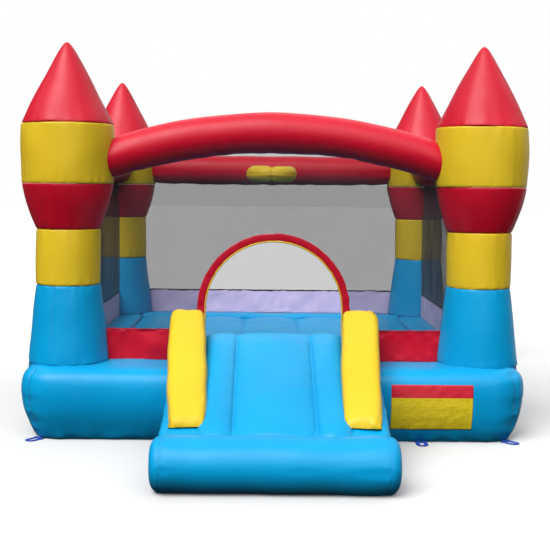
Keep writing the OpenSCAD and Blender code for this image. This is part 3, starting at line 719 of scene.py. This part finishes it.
def ramp_under(y, z):
    """The ramp's underside, matched to its top: over the base, down its wall and along the ground."""
    along = run_along(y, z)
    wall_z = np.linspace(0.340, 0.0, 12)
    wall_y = FRONT_FACE + CORNER - wall_u(wall_z) - 0.010
    line_y = np.concatenate([[SLIDE_BACK - 0.004, -1.20, -1.30, -1.345], wall_y, [RAMP_END]])
    line_z = np.concatenate([[0.394, 0.394, 0.388, 0.372], wall_z, [0.0]])
    run = run_along(line_y, line_z)
    marks = np.array([0, along[9], along[31], along[55], along[-1]]) / along[-1]
    goals = np.array([0, 0.012, 0.09, run[15], run[-1]]) / run[-1]
    s = np.interp(along / along[-1], marks, goals) * run[-1]
    return np.interp(s, run, line_y), np.interp(s, run, line_z)


# The ramp has a wide channel in the middle, a narrow one on each side of it, and rounded edges.
CHANNEL, SIDE_CHANNEL = 0.195, 0.360


def slide_ramp():
    """The slide's ramp: a crest at the base's top, three inflated channels and upright side walls."""
    y, z, ny, nz = ramp_line()
    by, bz = ramp_under(y, z)
    rows = len(y)
    along = run_along(y, z)
    crest_run = along[31]
    down = (along - crest_run)[:, None]
    total = along[-1] - crest_run
    stops = (-0.490, -SIDE_CHANNEL, -CHANNEL, CHANNEL, SIDE_CHANNEL, 0.490)
    spans = [np.linspace(a, b, n)[:-1] for a, b, n in zip(stops, stops[1:], (9, 26, 61, 26, 9))]
    x = np.concatenate(spans + [[0.490]])
    a = np.linspace(0, math.pi / 2, 11)[:-1]
    rho = 0.045
    wall_h = np.linspace(0, 1, 14)[:-1]
    to_foot = np.clip((total - 0.045 - down) / 0.13, 0, 1)
    end = np.sqrt(np.clip(1 - (1 - to_foot) ** 2, 0, 1))
    start = 0.35 + 0.65 * ease((down + 0.06) / 0.20)
    shrink = 0.86 + 0.14 * np.clip(to_foot * 1.2, 0, 1)
    middle = lobes(np.where(np.abs(x) <= CHANNEL, x, CHANNEL)[None] / shrink, 2 * CHANNEL)
    half = (SIDE_CHANNEL - CHANNEL) / 2
    outer_x = np.where(np.abs(x) > CHANNEL, np.abs(x) - CHANNEL - half, half)
    outer = lobes(np.clip(outer_x[None] / shrink, -half, half), 2 * half)
    crown = (0.040 * middle + 0.034 * outer) * end * start - 0.010
    gap = np.minimum(np.abs(np.abs(x) - CHANNEL), np.abs(np.abs(x) - SIDE_CHANNEL))[None] + 0 * down
    flat = xyz(x[None], y[:, None], z[:, None])
    lift = crown + pleats(xyz(0 * x[None], along[:, None], 0), gap, 81, 0.0014, 0.035, 0.090) * end * start
    foot_gap = np.clip(total - down, 0, None) + 0 * x[None]
    lift = lift + pleats(flat * [1, 0, 0], foot_gap, 83, 0.0026, 0.060, 0.080)
    lift = lift - 0.006 * np.exp(-foot_gap / 0.012) + 0.0018 * waves(flat, 0.30, 85)
    tx = np.broadcast_to(x[None], flat.shape[:2])
    ty = y[:, None] + ny[:, None] * lift
    tz = z[:, None] + nz[:, None] * lift
    height = np.hypot(y - by, z - bz)
    depth = np.minimum(rho, 0.45 * height)[:, None]
    uy, uz = (by - y) / np.maximum(height, 1e-6), (bz - z) / np.maximum(height, 1e-6)
    sides = []
    for side in (-1, 1):
        rx = side * (RAMP_HALF - rho + rho * np.cos(a))[None] + 0 * down
        drop = depth * (1 - np.sin(a))[None]
        hx = wall_h[None] + 0 * down
        length = height[:, None] - depth
        bulge = 0.010 * np.sin(math.pi * wall_h) ** 0.8
        wx = side * (RAMP_HALF + bulge * np.minimum(1, length / 0.2) - 0.004)
        wd = depth + (1 - hx) * length
        sx = np.concatenate([wx, rx], axis=1)
        sd = np.concatenate([wd, drop], axis=1)
        sy, sz = y[:, None] + uy[:, None] * sd, z[:, None] + uz[:, None] * sd
        wall = xyz(side * RAMP_HALF, sy, sz)
        puckers = pleats(wall * [0, 1, 1], sd, 88, 0.0018, 0.05, 0.06)
        sx = sx + side * (0.0022 * waves(wall, 0.30, 87) + puckers)
        sides.append((sx, sy, sz))
    (lx, ly, lz), (rx, ry, rz) = sides
    bottom_x = np.linspace(0.50, -0.50, 9)[None] + 0 * down
    px = np.concatenate([lx, tx, rx[:, ::-1], bottom_x], axis=1)
    py = np.concatenate([ly, ty, ry[:, ::-1], by[:, None] + 0 * bottom_x], axis=1)
    pz = np.concatenate([lz, tz, rz[:, ::-1], bz[:, None] + 0 * bottom_x], axis=1)
    points = xyz(px, py, np.maximum(pz, 0.0004))
    cols = points.shape[1]
    uv = pairs(along[:, None], np.linspace(0, 2.2, cols + 1)[None])
    verts, faces, uvs = grid(points, uv, wrap=True, caps=True, flip=True)
    n_side = lx.shape[1]
    seam = np.ones((rows, cols))
    seam[:, n_side:n_side + len(x)] = gap + 0.004
    foot = np.clip(total - down, 0, None) + np.zeros((rows, cols))
    obj = add_mesh("slide_ramp", verts, faces, uvs, BLUE, ["slide_ramp"],
                   seams=(np.append(seam.ravel(), [1, 1]), np.append(foot.ravel(), [1, 0])))


slide_ramp()


def slide_bolster():
    """The landing cushion: a fat roll with rounded ends, flat under itself and against the ramp."""
    cols, rows = 120, 190
    a = np.linspace(0, TAU, cols + 1)
    phi = a[None, :-1]
    t = np.concatenate([[0.0], spaced(rows, 0.72)[1:-1], [1.0]])[:, None]
    x = (2 * t - 1) * BOLSTER_HALF
    gap = BOLSTER_HALF - np.abs(x)
    round_end = 0.062
    q = np.clip(1 - gap / round_end, 0, 1)
    r = (BOLSTER_R - round_end * 0.9) + round_end * 0.9 * np.sqrt(np.clip(1 - q ** 2.6, 0, 1)) + 0 * phi
    r = np.where(gap < 1e-6, 0.004, r)
    ring = xyz(x, BOLSTER_R * np.cos(phi), BOLSTER_R * np.sin(phi))
    lip = np.exp(-np.abs(gap - 0.050) / 0.005)
    r = r - 0.0015 * lip
    fan = pleats(ring * [0, 1, 1], np.abs(gap - 0.050), 131, 0.0016, 0.060, 0.070)
    r = r + fan + 0.0024 * waves(ring, 0.30, 133)
    across = waves(xyz(x, 0.05 * np.cos(phi), 0.05 * np.sin(phi)), 0.075, 135)
    near_ramp = np.clip(np.cos(phi - 0.9), 0, 1) ** 3
    r = r + 0.0012 * across * near_ramp
    y = BOLSTER_Y + r * np.cos(phi)
    z = BOLSTER_Z + r * np.sin(phi)
    tuck = np.clip((y - RAMP_END) / 0.05, 0, 1)
    z = np.where(y > RAMP_END - 0.0015, np.minimum(z, 0.232 - 0.02 * tuck), z)
    y = np.minimum(y, RAMP_END - 0.0015)
    y = np.maximum(y, BOLSTER_Y - BOLSTER_R - 0.001)
    z = np.maximum(z, 0.0006)
    points = xyz(x + 0 * phi, y, z)
    v = run_along(x[:, 0])
    uv = pairs((a * BOLSTER_R)[None], v[:, None])
    verts, faces, uvs = grid(points, uv, wrap=True, caps=True)
    seam = (np.abs(gap - 0.050) + 0 * phi).ravel()
    obj = add_mesh("slide_bolster", verts, faces, uvs, BLUE, ["slide_bolster"],
                   seams=(np.append(seam, [1, 1]), None))


slide_bolster()

baffle("slide_baffle_left", (-CHANNEL, -2.05, 0.008), (0.62, 0.15), (50, 14), 91, ["slide_baffles"], 0.002)
baffle("slide_baffle_right", (CHANNEL, -2.05, 0.008), (0.62, 0.15), (50, 14), 92, [], 0.002)


def ramp_top(y):
    """Height of the ramp's top between its channels and its edges."""
    slope = RAMP_FOOT + 0.004 + (y - RAMP_END) * math.tan(SLOPE)
    arc = CREST_Z - CREST_R + np.sqrt(np.clip(CREST_R ** 2 - (y - CREST_Y) ** 2, 0, None))
    return np.where(y < CREST_Y - CREST_R * math.sin(SLOPE), slope, arc)


BUMPER_L, BUMPER_W, BUMPER_T = 1.005, 0.197, 0.150
BUMPER_X, BUMPER_Y, BUMPER_Z = 0.472, -TOWER_Y - 0.035, 0.638
BUMPER_DROP, BUMPER_TOE = math.radians(25.5), math.radians(4.2)


def bumper(name, side, seed):
    """A long box cushion that lies down the slide's edge, its low end closed to a flat seam with two ears."""
    cols, rows = 112, 150
    t = spaced(rows, 0.72)[:, None]
    run = t * BUMPER_L
    low_gap, high_gap = BUMPER_L - run, run
    a = np.linspace(0, TAU, cols + 1)
    phi = a[None, :-1]
    cw, cn = squarish(phi, 4.2)
    high = (1 - (1 - np.clip(high_gap / 0.075, 0, 1)) ** 2.2) ** (1 / 2.2)
    foot = (1 - (1 - np.clip(low_gap / 0.085, 0, 1)) ** 2.2) ** (1 / 2.2)
    half_n = BUMPER_T / 2 * np.minimum(high, foot) + 0.0025
    taper = 1 - 0.10 * ease((0.30 - low_gap) / 0.30)
    half_w = BUMPER_W / 2 * taper * (0.965 + 0.035 * np.sin(math.pi * np.clip(t, 0, 1)) ** 0.5)
    half_w = half_w * (0.58 + 0.42 * np.sqrt(np.clip(1 - (1 - np.clip(high_gap / 0.085, 0, 1)) ** 2, 0, 1)))
    half_w = half_w * (1 - 0.045 * np.exp(-((low_gap - 0.028) / 0.022) ** 2))
    half_w = half_w + 0.006 * np.exp(-low_gap / 0.010)
    w, n = half_w * cw, half_n * cn
    ring = xyz(w, run, n)
    gap = np.minimum(low_gap, high_gap) + 0 * phi
    swell = 0.0022 * waves(ring, 0.26, seed) + pleats(xyz(w, 0 * run, n), gap, seed + 1, 0.0040, 0.085, 0.050)
    pinch = np.exp(-low_gap / 0.012) + 0 * phi
    scale = 1 + swell / np.maximum(np.hypot(w, n), 0.02) * (1 - 0.8 * pinch)
    w, n = w * scale, n * scale
    corner = np.abs(np.abs(cw) - np.abs(cn))
    edge = np.exp(-(corner / 0.10) ** 2) * (cn > 0)
    n = n - 0.0012 * edge * waves(xyz(0 * w, run, 0 * w), 0.045, seed + 3)
    drop, toe = BUMPER_DROP, -side * BUMPER_TOE
    y = -run * math.cos(drop) - n * math.sin(drop)
    z = -run * math.sin(drop) + n * math.cos(drop)
    bx, by = w * math.cos(toe) - y * math.sin(toe), w * math.sin(toe) + y * math.cos(toe)
    wy = np.minimum(BUMPER_Y + by, SLIDE_BACK)
    wz = np.maximum(BUMPER_Z + z, ramp_top(wy) + 0.0012)
    points = xyz(side * BUMPER_X + bx, wy, wz)
    girth = np.linspace(0, 0.60, cols + 1)
    uv = pairs(run, girth[None])
    verts, faces, uvs = grid(points, uv, wrap=True, caps=True)
    seam = np.append(gap.ravel(), [0, 0])
    side_seam = np.append((np.abs(cn) * 0.07 + 0 * run).ravel(), [0, 0])
    obj = add_mesh(name, verts, faces, uvs, YELLOW, [name], seams=(side_seam + 1.0, seam))


bumper("bumper_left", -1, 141)
bumper("bumper_right", 1, 151)

# ---- bands, nets and bindings ----


def tower_radius(z):
    """Radius of a tower at a height, straight between its seams."""
    return np.interp(z, [BASE_TOP, COLUMN_TOP, NECK_TOP, DRUM_LOW], [FOOT_R, NECK_R, NECK_R, DRUM_R])


def reach(half_span, z):
    """Half the width between two towers at a height, with a little to sew into them."""
    return half_span - tower_radius(z) + 0.003


def outward(place):
    """The direction across a wall that place puts points on."""
    return place(0.0, 1.0, 0.0) - place(0.0, 0.0, 0.0)


def curtain(name, place, half_span, low, high, thickness, material, seed, left=None, right=None,
            ripple=0.003, counts=(120, 36), held="stretched"):
    """A panel hung between two towers, or from one tower to the doorway."""
    v = np.linspace(0, 1, counts[1])[:, None]
    u = np.linspace(0, 1, counts[0])[None]
    z = low + (high - low) * v
    a = -reach(half_span, z) if left is None else left + 0 * z
    b = reach(half_span, z) if right is None else right + 0 * z
    s = a + (b - a) * u
    z = z + 0 * u
    edge = np.minimum(np.minimum(s - a, b - s), np.minimum(z - low, high - z))
    flat = xyz(s, 0 * s, z)
    pull = waves(flat * [1, 1, 0.22], 0.16, seed) + 0.4 * waves(flat * [1, 1, 0.15], 0.05, seed + 1)
    pucker = 0.5 * waves(flat, 0.045, seed + 2) * np.exp(-edge / 0.03) * ease(edge / 0.01)
    off = ripple * (pull * ease(edge / 0.08) + pucker)
    points = place(s, off, z)
    normal = outward(place)
    uv = pairs(s, z)
    gap_u = np.minimum(z - low, high - z)
    gap_v = np.minimum(s - a, b - s)
    verts, faces, uvs, seams = thin(points, uv, normal, thickness, (gap_u, gap_v))
    obj = add_mesh(name, verts, faces, uvs, material, [name], seams=seams)
    obj.visible_shadow = material not in (NET, SIDE_NET)


def front_wall(s, off, z):
    return xyz(s, -TOWER_Y + off, z)


def rear_wall(s, off, z):
    return xyz(s, TOWER_Y + off, z)


def left_wall(s, off, z):
    return xyz(-TOWER_X + off, s, z)


def right_wall(s, off, z):
    return xyz(TOWER_X + off, s, z)


def door_path(half, low, count=90):
    """The doorway's outline at a half width, from low left over to low right, with outward directions."""
    legs = np.linspace(low, DOOR_CENTRE, 22)[:-1]
    a = np.linspace(math.pi, 0, count)
    x = np.concatenate([np.full(len(legs), -half), half * np.cos(a), np.full(len(legs), half)])
    z = np.concatenate([legs, DOOR_CENTRE + half * np.sin(a), legs[::-1]])
    ox = np.concatenate([np.full(len(legs), -1.0), np.cos(a), np.full(len(legs), 1.0)])
    oz = np.concatenate([0 * legs, np.sin(a), 0 * legs])
    return x, z, ox, oz


def net_front():
    """The front net, from the doorway's edge out to the towers and up to the arch."""
    x, z, _, _ = door_path(DOOR_HALF + 0.001, BAND_TOP, 121)
    turn = np.arctan2(z - DOOR_CENTRE, x)
    top_x = TOWER_X - DRUM_R + 0.002
    under = ARCH_CURVE - ARCH_R + 0.002
    crest = ARCH_CREST - ARCH_CURVE
    shoulder = crest + math.sqrt(under ** 2 - top_x ** 2)
    part = math.radians(48)
    part_z = DOOR_CENTRE + (DOOR_HALF + 0.001) * math.sin(part)
    side_share = np.clip((z - BAND_TOP) / (part_z - BAND_TOP), 0, 1)
    side_z = BAND_TOP + (shoulder - BAND_TOP) * side_share
    over = (turn > part) & (turn < math.pi - part)
    outer_x = np.sign(x) * reach(TOWER_X, side_z)
    outer_z = side_z
    across = top_x * np.clip((math.pi / 2 - turn) / (math.pi / 2 - part), -1, 1)
    outer_x = np.where(over, across, outer_x)
    outer_z = np.where(over, crest + np.sqrt(under ** 2 - across ** 2), outer_z)
    m = np.linspace(0, 1, 30)[:, None]
    s = x + (outer_x - x) * m
    h = z + (outer_z - z) * m
    edge = np.minimum(m, 1 - m) * np.hypot(outer_x - x, outer_z - z)
    flat = xyz(s, 0 * s, h)
    off = (0.004 * waves(flat, 0.25, 231) + 0.002 * waves(flat * [1, 1, 0.3], 0.07, 232)) * ease(edge / 0.06)
    points = front_wall(s, off, h)
    uv = pairs(s, h)
    verts, faces, uvs, seams = thin(points, uv, (0, 1, 0), 0.0024, (edge, edge + 1))
    obj = add_mesh("net_front", verts, faces, uvs, NET, ["net_front"], seams=seams)
    obj.visible_shadow = False


def sweep_piece(name, path, side, up, width, thickness, material, nodes=(), body="house", **shape):
    """A piece that is one strap along a path."""
    verts, faces, uvs = strap(path, side, up, width, thickness, **shape)
    add_mesh(name, verts, faces, uvs, material, nodes, body)


def uneven(path, seed, size=0.05, depth=0.0008):
    return path + np.stack([depth * waves(path, size, seed + k) for k in range(3)], axis=-1)


def door_trim():
    """The doorway's red binding and the yellow piping inside it."""
    for name, inset, seed, size, depth, width, thickness, material, corner, count in (
            ("door_binding", 0.019, 301, 0.05, 0.0008, 0.040, 0.0085, BINDING, 2.6, 20),
            ("door_piping", 0.0428, 305, 0.04, 0.0006, 0.0095, 0.0095, PIPING, 2.0, 14)):
        low = BASE_TOP + (0.006 if name == "door_binding" else 0.008)
        x, z, ox, oz = door_path(DOOR_HALF - inset, low, 150)
        path = uneven(xyz(x, -TOWER_Y - 0.001, z), seed, size, depth)
        front = np.array([0.0, -1.0, 0.0])
        sweep_piece(name, path, xyz(ox, 0, oz), front, width, thickness, material, [name],
                    corner=corner, count=count)


def hem(name, place, half_span, seed, tape=HEM, left=None, right=None):
    """Binding along a net's lower edge."""
    z = BAND_TOP + 0.001
    a = -reach(half_span, z) if left is None else left
    b = reach(half_span, z) if right is None else right
    s = np.linspace(a, b, 140)
    path = uneven(place(s, 0, z), seed, 0.06, 0.0007)
    sweep_piece(name, path, np.array([0.0, 0.0, 1.0]), outward(place), 0.011, 0.0066, tape, corner=2.6)


BAND_LOW, BEAM_LOW = BASE_TOP + 0.006, BEAM_Z - BEAM_R + 0.001
DOOR_EDGE, DOOR_HEM = DOOR_HALF - 0.002, DOOR_HALF + 0.002
WALLS = (
    ("rear", rear_wall, TOWER_X, NET, 0.005),
    ("left", left_wall, TOWER_Y, SIDE_NET, 0.006),
    ("right", right_wall, TOWER_Y, SIDE_NET, 0.006),
)
for k, (wall, place, half_span, material, ripple) in enumerate(WALLS):
    curtain(f"band_{wall}", place, half_span, BAND_LOW, BAND_TOP, 0.004, PALE_BAND_PAINTED_REFLECTION, 201 + 3 * k)
    curtain(f"net_{wall}", place, half_span, BAND_TOP, BEAM_LOW, 0.0024, material, 221 + 3 * k, ripple=ripple)
    hem(f"net_{wall}_hem", place, half_span, 311 + 10 * k)
FRONT_BAND = (front_wall, TOWER_X, BAND_LOW, BAND_TOP, 0.004, RED)
curtain("band_front_left", *FRONT_BAND, 210, right=-DOOR_EDGE, counts=(60, 30))
curtain("band_front_right", *FRONT_BAND, 213, left=DOOR_EDGE, counts=(60, 30))
net_front()
hem("net_front_hem_left", front_wall, TOWER_X, 341, BINDING, right=-DOOR_HEM)
hem("net_front_hem_right", front_wall, TOWER_X, 351, BINDING, left=DOOR_HEM)
door_trim()

# ---- label ----


PATCH_LEFT, PATCH_RIGHT, PATCH_LOW, PATCH_HIGH = 0.620, 1.050, 0.082, 0.322


def label_patch():
    """A patch glued to the base's front wall, following its bulge."""
    x = np.linspace(PATCH_LEFT, PATCH_RIGHT, 70)[None]
    z = np.linspace(PATCH_LOW, PATCH_HIGH, 60)[:, None]
    up_roll = np.clip((z - ROLL_Z) / ROLL_HIGH, 0, 1)
    roll = ROLL_U + ROLL_WIDE * (1 - up_roll ** ROLL_POWER) ** (1 / ROLL_POWER)
    out = np.where(z > ROLL_Z, roll, wall_u(np.minimum(z, ROLL_Z))) + 0 * x
    flat = xyz(x, FRONT_FACE + CORNER - out, z)
    push = base_swell(flat, z + 0 * x, z) + 0.0022 + 0.0004 * waves(flat, 0.05, 361)
    slope = np.gradient(out[:, 0], z[:, 0])[:, None]
    size = np.hypot(1, slope)
    points = flat + xyz(0 * x, -push / size, -push * slope / size)
    normal = xyz(0 * x, -1 / size, -slope / size)
    uv = pairs(x - PATCH_LEFT, z - PATCH_LOW)
    seam_u = np.minimum(z - PATCH_LOW, PATCH_HIGH - z) + 0 * x
    seam_v = np.minimum(x - PATCH_LEFT, PATCH_RIGHT - x) + 0 * z
    verts, faces, uvs, seams = thin(points, uv, normal, 0.0014, (seam_u, seam_v))
    obj = add_mesh("label_patch", verts, faces, uvs, LABEL, ["label_patch"], seams=seams)


label_patch()

# ---- hoop ----


TAB_HALF, TAB_FRONT, TAB_LONG, TAB_Z = 0.060, 0.908, 0.0605, 1.460


def hoop():
    """The inflated ring and the tab that it hangs from."""
    major, minor = 0.1275, 0.0575
    rings, cols = 140, 56
    b = np.linspace(0, TAU, rings, endpoint=False)[:, None]
    a = np.linspace(0, TAU, cols, endpoint=False)[None]
    turn = np.minimum(angle_between(b, 1.5 * math.pi), angle_between(b, 0.5 * math.pi)) * major
    inner = angle_between(a, math.pi) * minor
    tube = polar(minor, a, 0 * b)
    ring = xyz(major * np.cos(b), major * np.sin(b), minor * np.sin(a))
    r = minor - 0.009 * np.exp(-turn / 0.009) - 0.005 * np.exp(-turn / 0.03)
    r = r - 0.003 * np.exp(-np.abs(inner - math.pi * minor) / 0.005)
    r = r + pleats(tube, turn + 0 * a, 401, 0.0034, 0.050, 0.040)
    folds = waves(polar(major, b, 0 * a), 0.032, 403)
    r = r + 0.0028 * folds * np.clip(-np.cos(a), 0, 1) ** 1.3 + 0.0010 * waves(ring, 0.12, 405)
    x = (major + r * np.cos(a)) * np.cos(b)
    y = HOOP_Y + (major + r * np.cos(a)) * np.sin(b)
    z = HOOP_Z + r * np.sin(a)
    around = np.linspace(0, TAU * (major + minor), rings + 1)
    uv = pairs(around[:, None], np.linspace(0, TAU * minor, cols + 1)[None])
    verts, faces, uvs = grid(xyz(x, y, z), uv, wrap=True, close=True)
    add_mesh("hoop", verts, faces, uvs, YELLOW, ["hoop"], "hoop", (None, (turn + 0 * a).ravel()))
    t = np.linspace(0, 1, 24)[:, None]
    s = np.linspace(-TAB_HALF, TAB_HALF, 40)[None] + 0 * t
    y = TAB_FRONT + t * TAB_LONG + 0 * s
    z = TAB_Z + 0.0022 * waves(xyz(s, 0.3 * y, 0), 0.035, 411) * (1 - t) - 0.004 * (1 - t) ** 2
    seams = (np.ones_like(s), TAB_HALF - np.abs(s))
    verts, faces, uvs, seams = thin(xyz(s, y, z), pairs(s, y), (0, 0, 1), 0.003, seams)
    obj = add_mesh("hoop_tab", verts, faces, uvs, YELLOW, ["hoop_tab"], "hoop", seams=seams)


hoop()

# ---- anchor loops ----


def anchor_loop(name, root, turn, seed):
    """A folded loop of webbing, lying flat, with its two ends sewn under a cross strap at the root."""
    half, length, wide = 0.0215, 0.063, 0.021
    legs = np.linspace(-0.002, -length, 26)
    a = np.linspace(math.pi, TAU, 34)[1:-1]
    x = np.concatenate([np.full(26, -half), half * np.cos(a), np.full(26, half)])
    y = np.concatenate([legs, -length + half * np.sin(a), legs[::-1]])
    out_x = np.concatenate([np.full(26, -1.0), np.cos(a), np.full(26, 1.0)])
    out_y = np.concatenate([np.zeros(26), np.sin(a), np.zeros(26)])
    z = 0.0021 + 0.0003 * (1 + waves(xyz(x, y, 0 * x), 0.05, seed))
    c, s = math.cos(turn), math.sin(turn)
    path = xyz(root[0] + x * c - y * s, root[1] + x * s + y * c, z)
    side = xyz(out_x * c - out_y * s, out_x * s + out_y * c, 0)
    up = np.array([0.0, 0.0, 1.0])
    sweep_piece(name, path, side, up, wide, 0.0028, WEBBING, [name], name, corner=3.0, count=14)
    bar = np.linspace(-0.0315, 0.0315, 24)
    path = xyz(root[0] + bar * c + 0.0105 * s, root[1] + bar * s - 0.0105 * c, 0.0030)
    side = np.array([-s, c, 0.0])
    sweep_piece(f"{name}_bar", path, side, up, wide, 0.0048, WEBBING, [], name, corner=3.0, count=14)


FOOT_INSET = WALL_R - math.sqrt(WALL_R ** 2 - WALL_Z ** 2)
ROOT = CORNER - FOOT_INSET + 0.003
for place, (sx, sy) in TOWERS.items():
    turn = math.radians(sx * 40 if sy < 0 else sx * 140)
    cx = sx * (HALF_WIDTH - CORNER)
    cy = FRONT_FACE + CORNER if sy < 0 else REAR_FACE - CORNER
    root = (cx + ROOT * math.sin(turn), cy - ROOT * math.cos(turn))
    anchor_loop(f"loop_{place}", root, turn, 430 + 3 * sx + sy)
anchor_loop("loop_front_middle", (0.790, FRONT_FACE + FOOT_INSET - 0.003), 0.0, 440)

# ---- blower sleeve ----


SLEEVE_X, SLEEVE_Z, STRAP_AT = 0.760, 0.192, 0.2375


def blower_sleeve():
    """A limp tube of thin cloth for the blower, gathered by its strap."""
    rows, cols = 90, 110
    length, radius = 0.300, 0.0775
    t = np.linspace(0, 1, rows)[:, None]
    a = np.linspace(0, TAU, cols + 1)
    phi = a[None, :-1]
    run = t * length
    strap_at = np.exp(-((run - STRAP_AT) / 0.016) ** 2)
    around = polar(radius, phi, 0 * phi)
    folds = waves(around + xyz(0 * run, 0 * run, 0.25 * run), 0.050, 501)
    cross = waves(xyz(radius * np.cos(phi), radius * np.sin(phi), 1.0 * run), 0.070, 503)
    r = radius - 0.0030 * strap_at + 0.0020 * folds + 0.0015 * cross * (1 - strap_at)
    r = np.minimum(r + 0 * run, 0.0835 - 0.0035 * strap_at)
    y = REAR_FACE + 0.0005 + run
    outer, inner = (xyz(SLEEVE_X + w * np.cos(phi), y, SLEEVE_Z + w * np.sin(phi)) for w in (r, r - 0.0016))
    run_uv = np.concatenate([run[:, 0], 2 * length - run[::-1, 0], [2 * length + 0.002]])
    uv = pairs((a * radius)[None], run_uv[:, None])
    verts, faces, uvs = grid(np.concatenate([outer, inner[::-1]]), uv, wrap=True, close=True, flip=True)
    hem_gap = np.minimum(run, length - run) + 0 * phi
    seam = np.concatenate([hem_gap, hem_gap[::-1]]).ravel()
    obj = add_mesh("blower_sleeve", verts, faces, uvs, BLUE, ["blower_sleeve"],
                   seams=(seam, None))
    b = np.linspace(0, TAU, 120, endpoint=False)
    radial = xyz(np.cos(b), 0 * b, np.sin(b))
    path = 0.0812 * radial + xyz(SLEEVE_X, REAR_FACE + STRAP_AT + 0.0010 * np.sin(2 * b), SLEEVE_Z)
    back = np.array([0.0, 1.0, 0.0])
    sweep_piece("sleeve_strap", path, back, radial, 0.025, 0.0030, WEBBING, ["sleeve_strap"],
                closed=True, corner=3.0, count=14)


blower_sleeve()

# ---- stage and light ----


def stage():
    """A pale floor that shows only to the camera and by the light that falls on it."""
    t = Tree("studio_floor")
    grey = t.mix(t.noise(0.6, 2.0), (0.460, 0.460, 0.460, 1), (0.475, 0.475, 0.475, 1))
    t.dress({"Base Color": grey, "Roughness": 0.85, "Specular IOR Level": 0.1})
    mesh = bpy.data.meshes.new("studio_floor")
    size = 60.0
    corners = [(x * size, y * size, -0.001) for x, y in ((-1, -1), (1, -1), (1, 1), (-1, 1))]
    mesh.from_pydata(corners, [], [(0, 1, 2, 3)])
    mesh.materials.append(t.material)
    floor = bpy.data.objects.new("studio_floor", mesh)
    bpy.context.scene.collection.objects.link(floor)
    floor.visible_diffuse = floor.visible_glossy = floor.visible_shadow = False


def soft_light(name, towards, power, angle):
    """A very soft distant light that shines from the direction towards."""
    data = bpy.data.lights.new(name, "SUN")
    data.energy, data.angle = power, math.radians(angle)
    lamp = bpy.data.objects.new(name, data)
    bpy.context.scene.collection.objects.link(lamp)
    lamp.matrix_world = Vector(towards).to_track_quat("Z", "Y").to_matrix().to_4x4()


def surround():
    """A plain white surround; the lamps alone light the object."""
    world = bpy.data.worlds.new("studio")
    bpy.context.scene.world = world
    world.use_nodes = True
    background = world.node_tree.nodes["Background"]
    background.inputs["Color"].default_value = (1.0, 1.0, 1.0, 1.0)
    background.inputs["Strength"].default_value = 1.0
    world.cycles_visibility.diffuse = False
    world.cycles_visibility.glossy = False


stage()
surround()
soft_light("key", (-0.46, -0.60, 0.92), 4.6, 40)
soft_light("overhead", (0.0, 0.0, 1.0), 2.3, 120)
soft_light("front", (0.20, -1.0, 0.85), 1.9, 60)
soft_light("bounce", (0.0, -0.5, -0.8), 0.12, 120)
soft_light("rear", (0.5, 1.0, 0.5), 1.1, 90)
bpy.context.scene.view_settings.view_transform = "Standard"
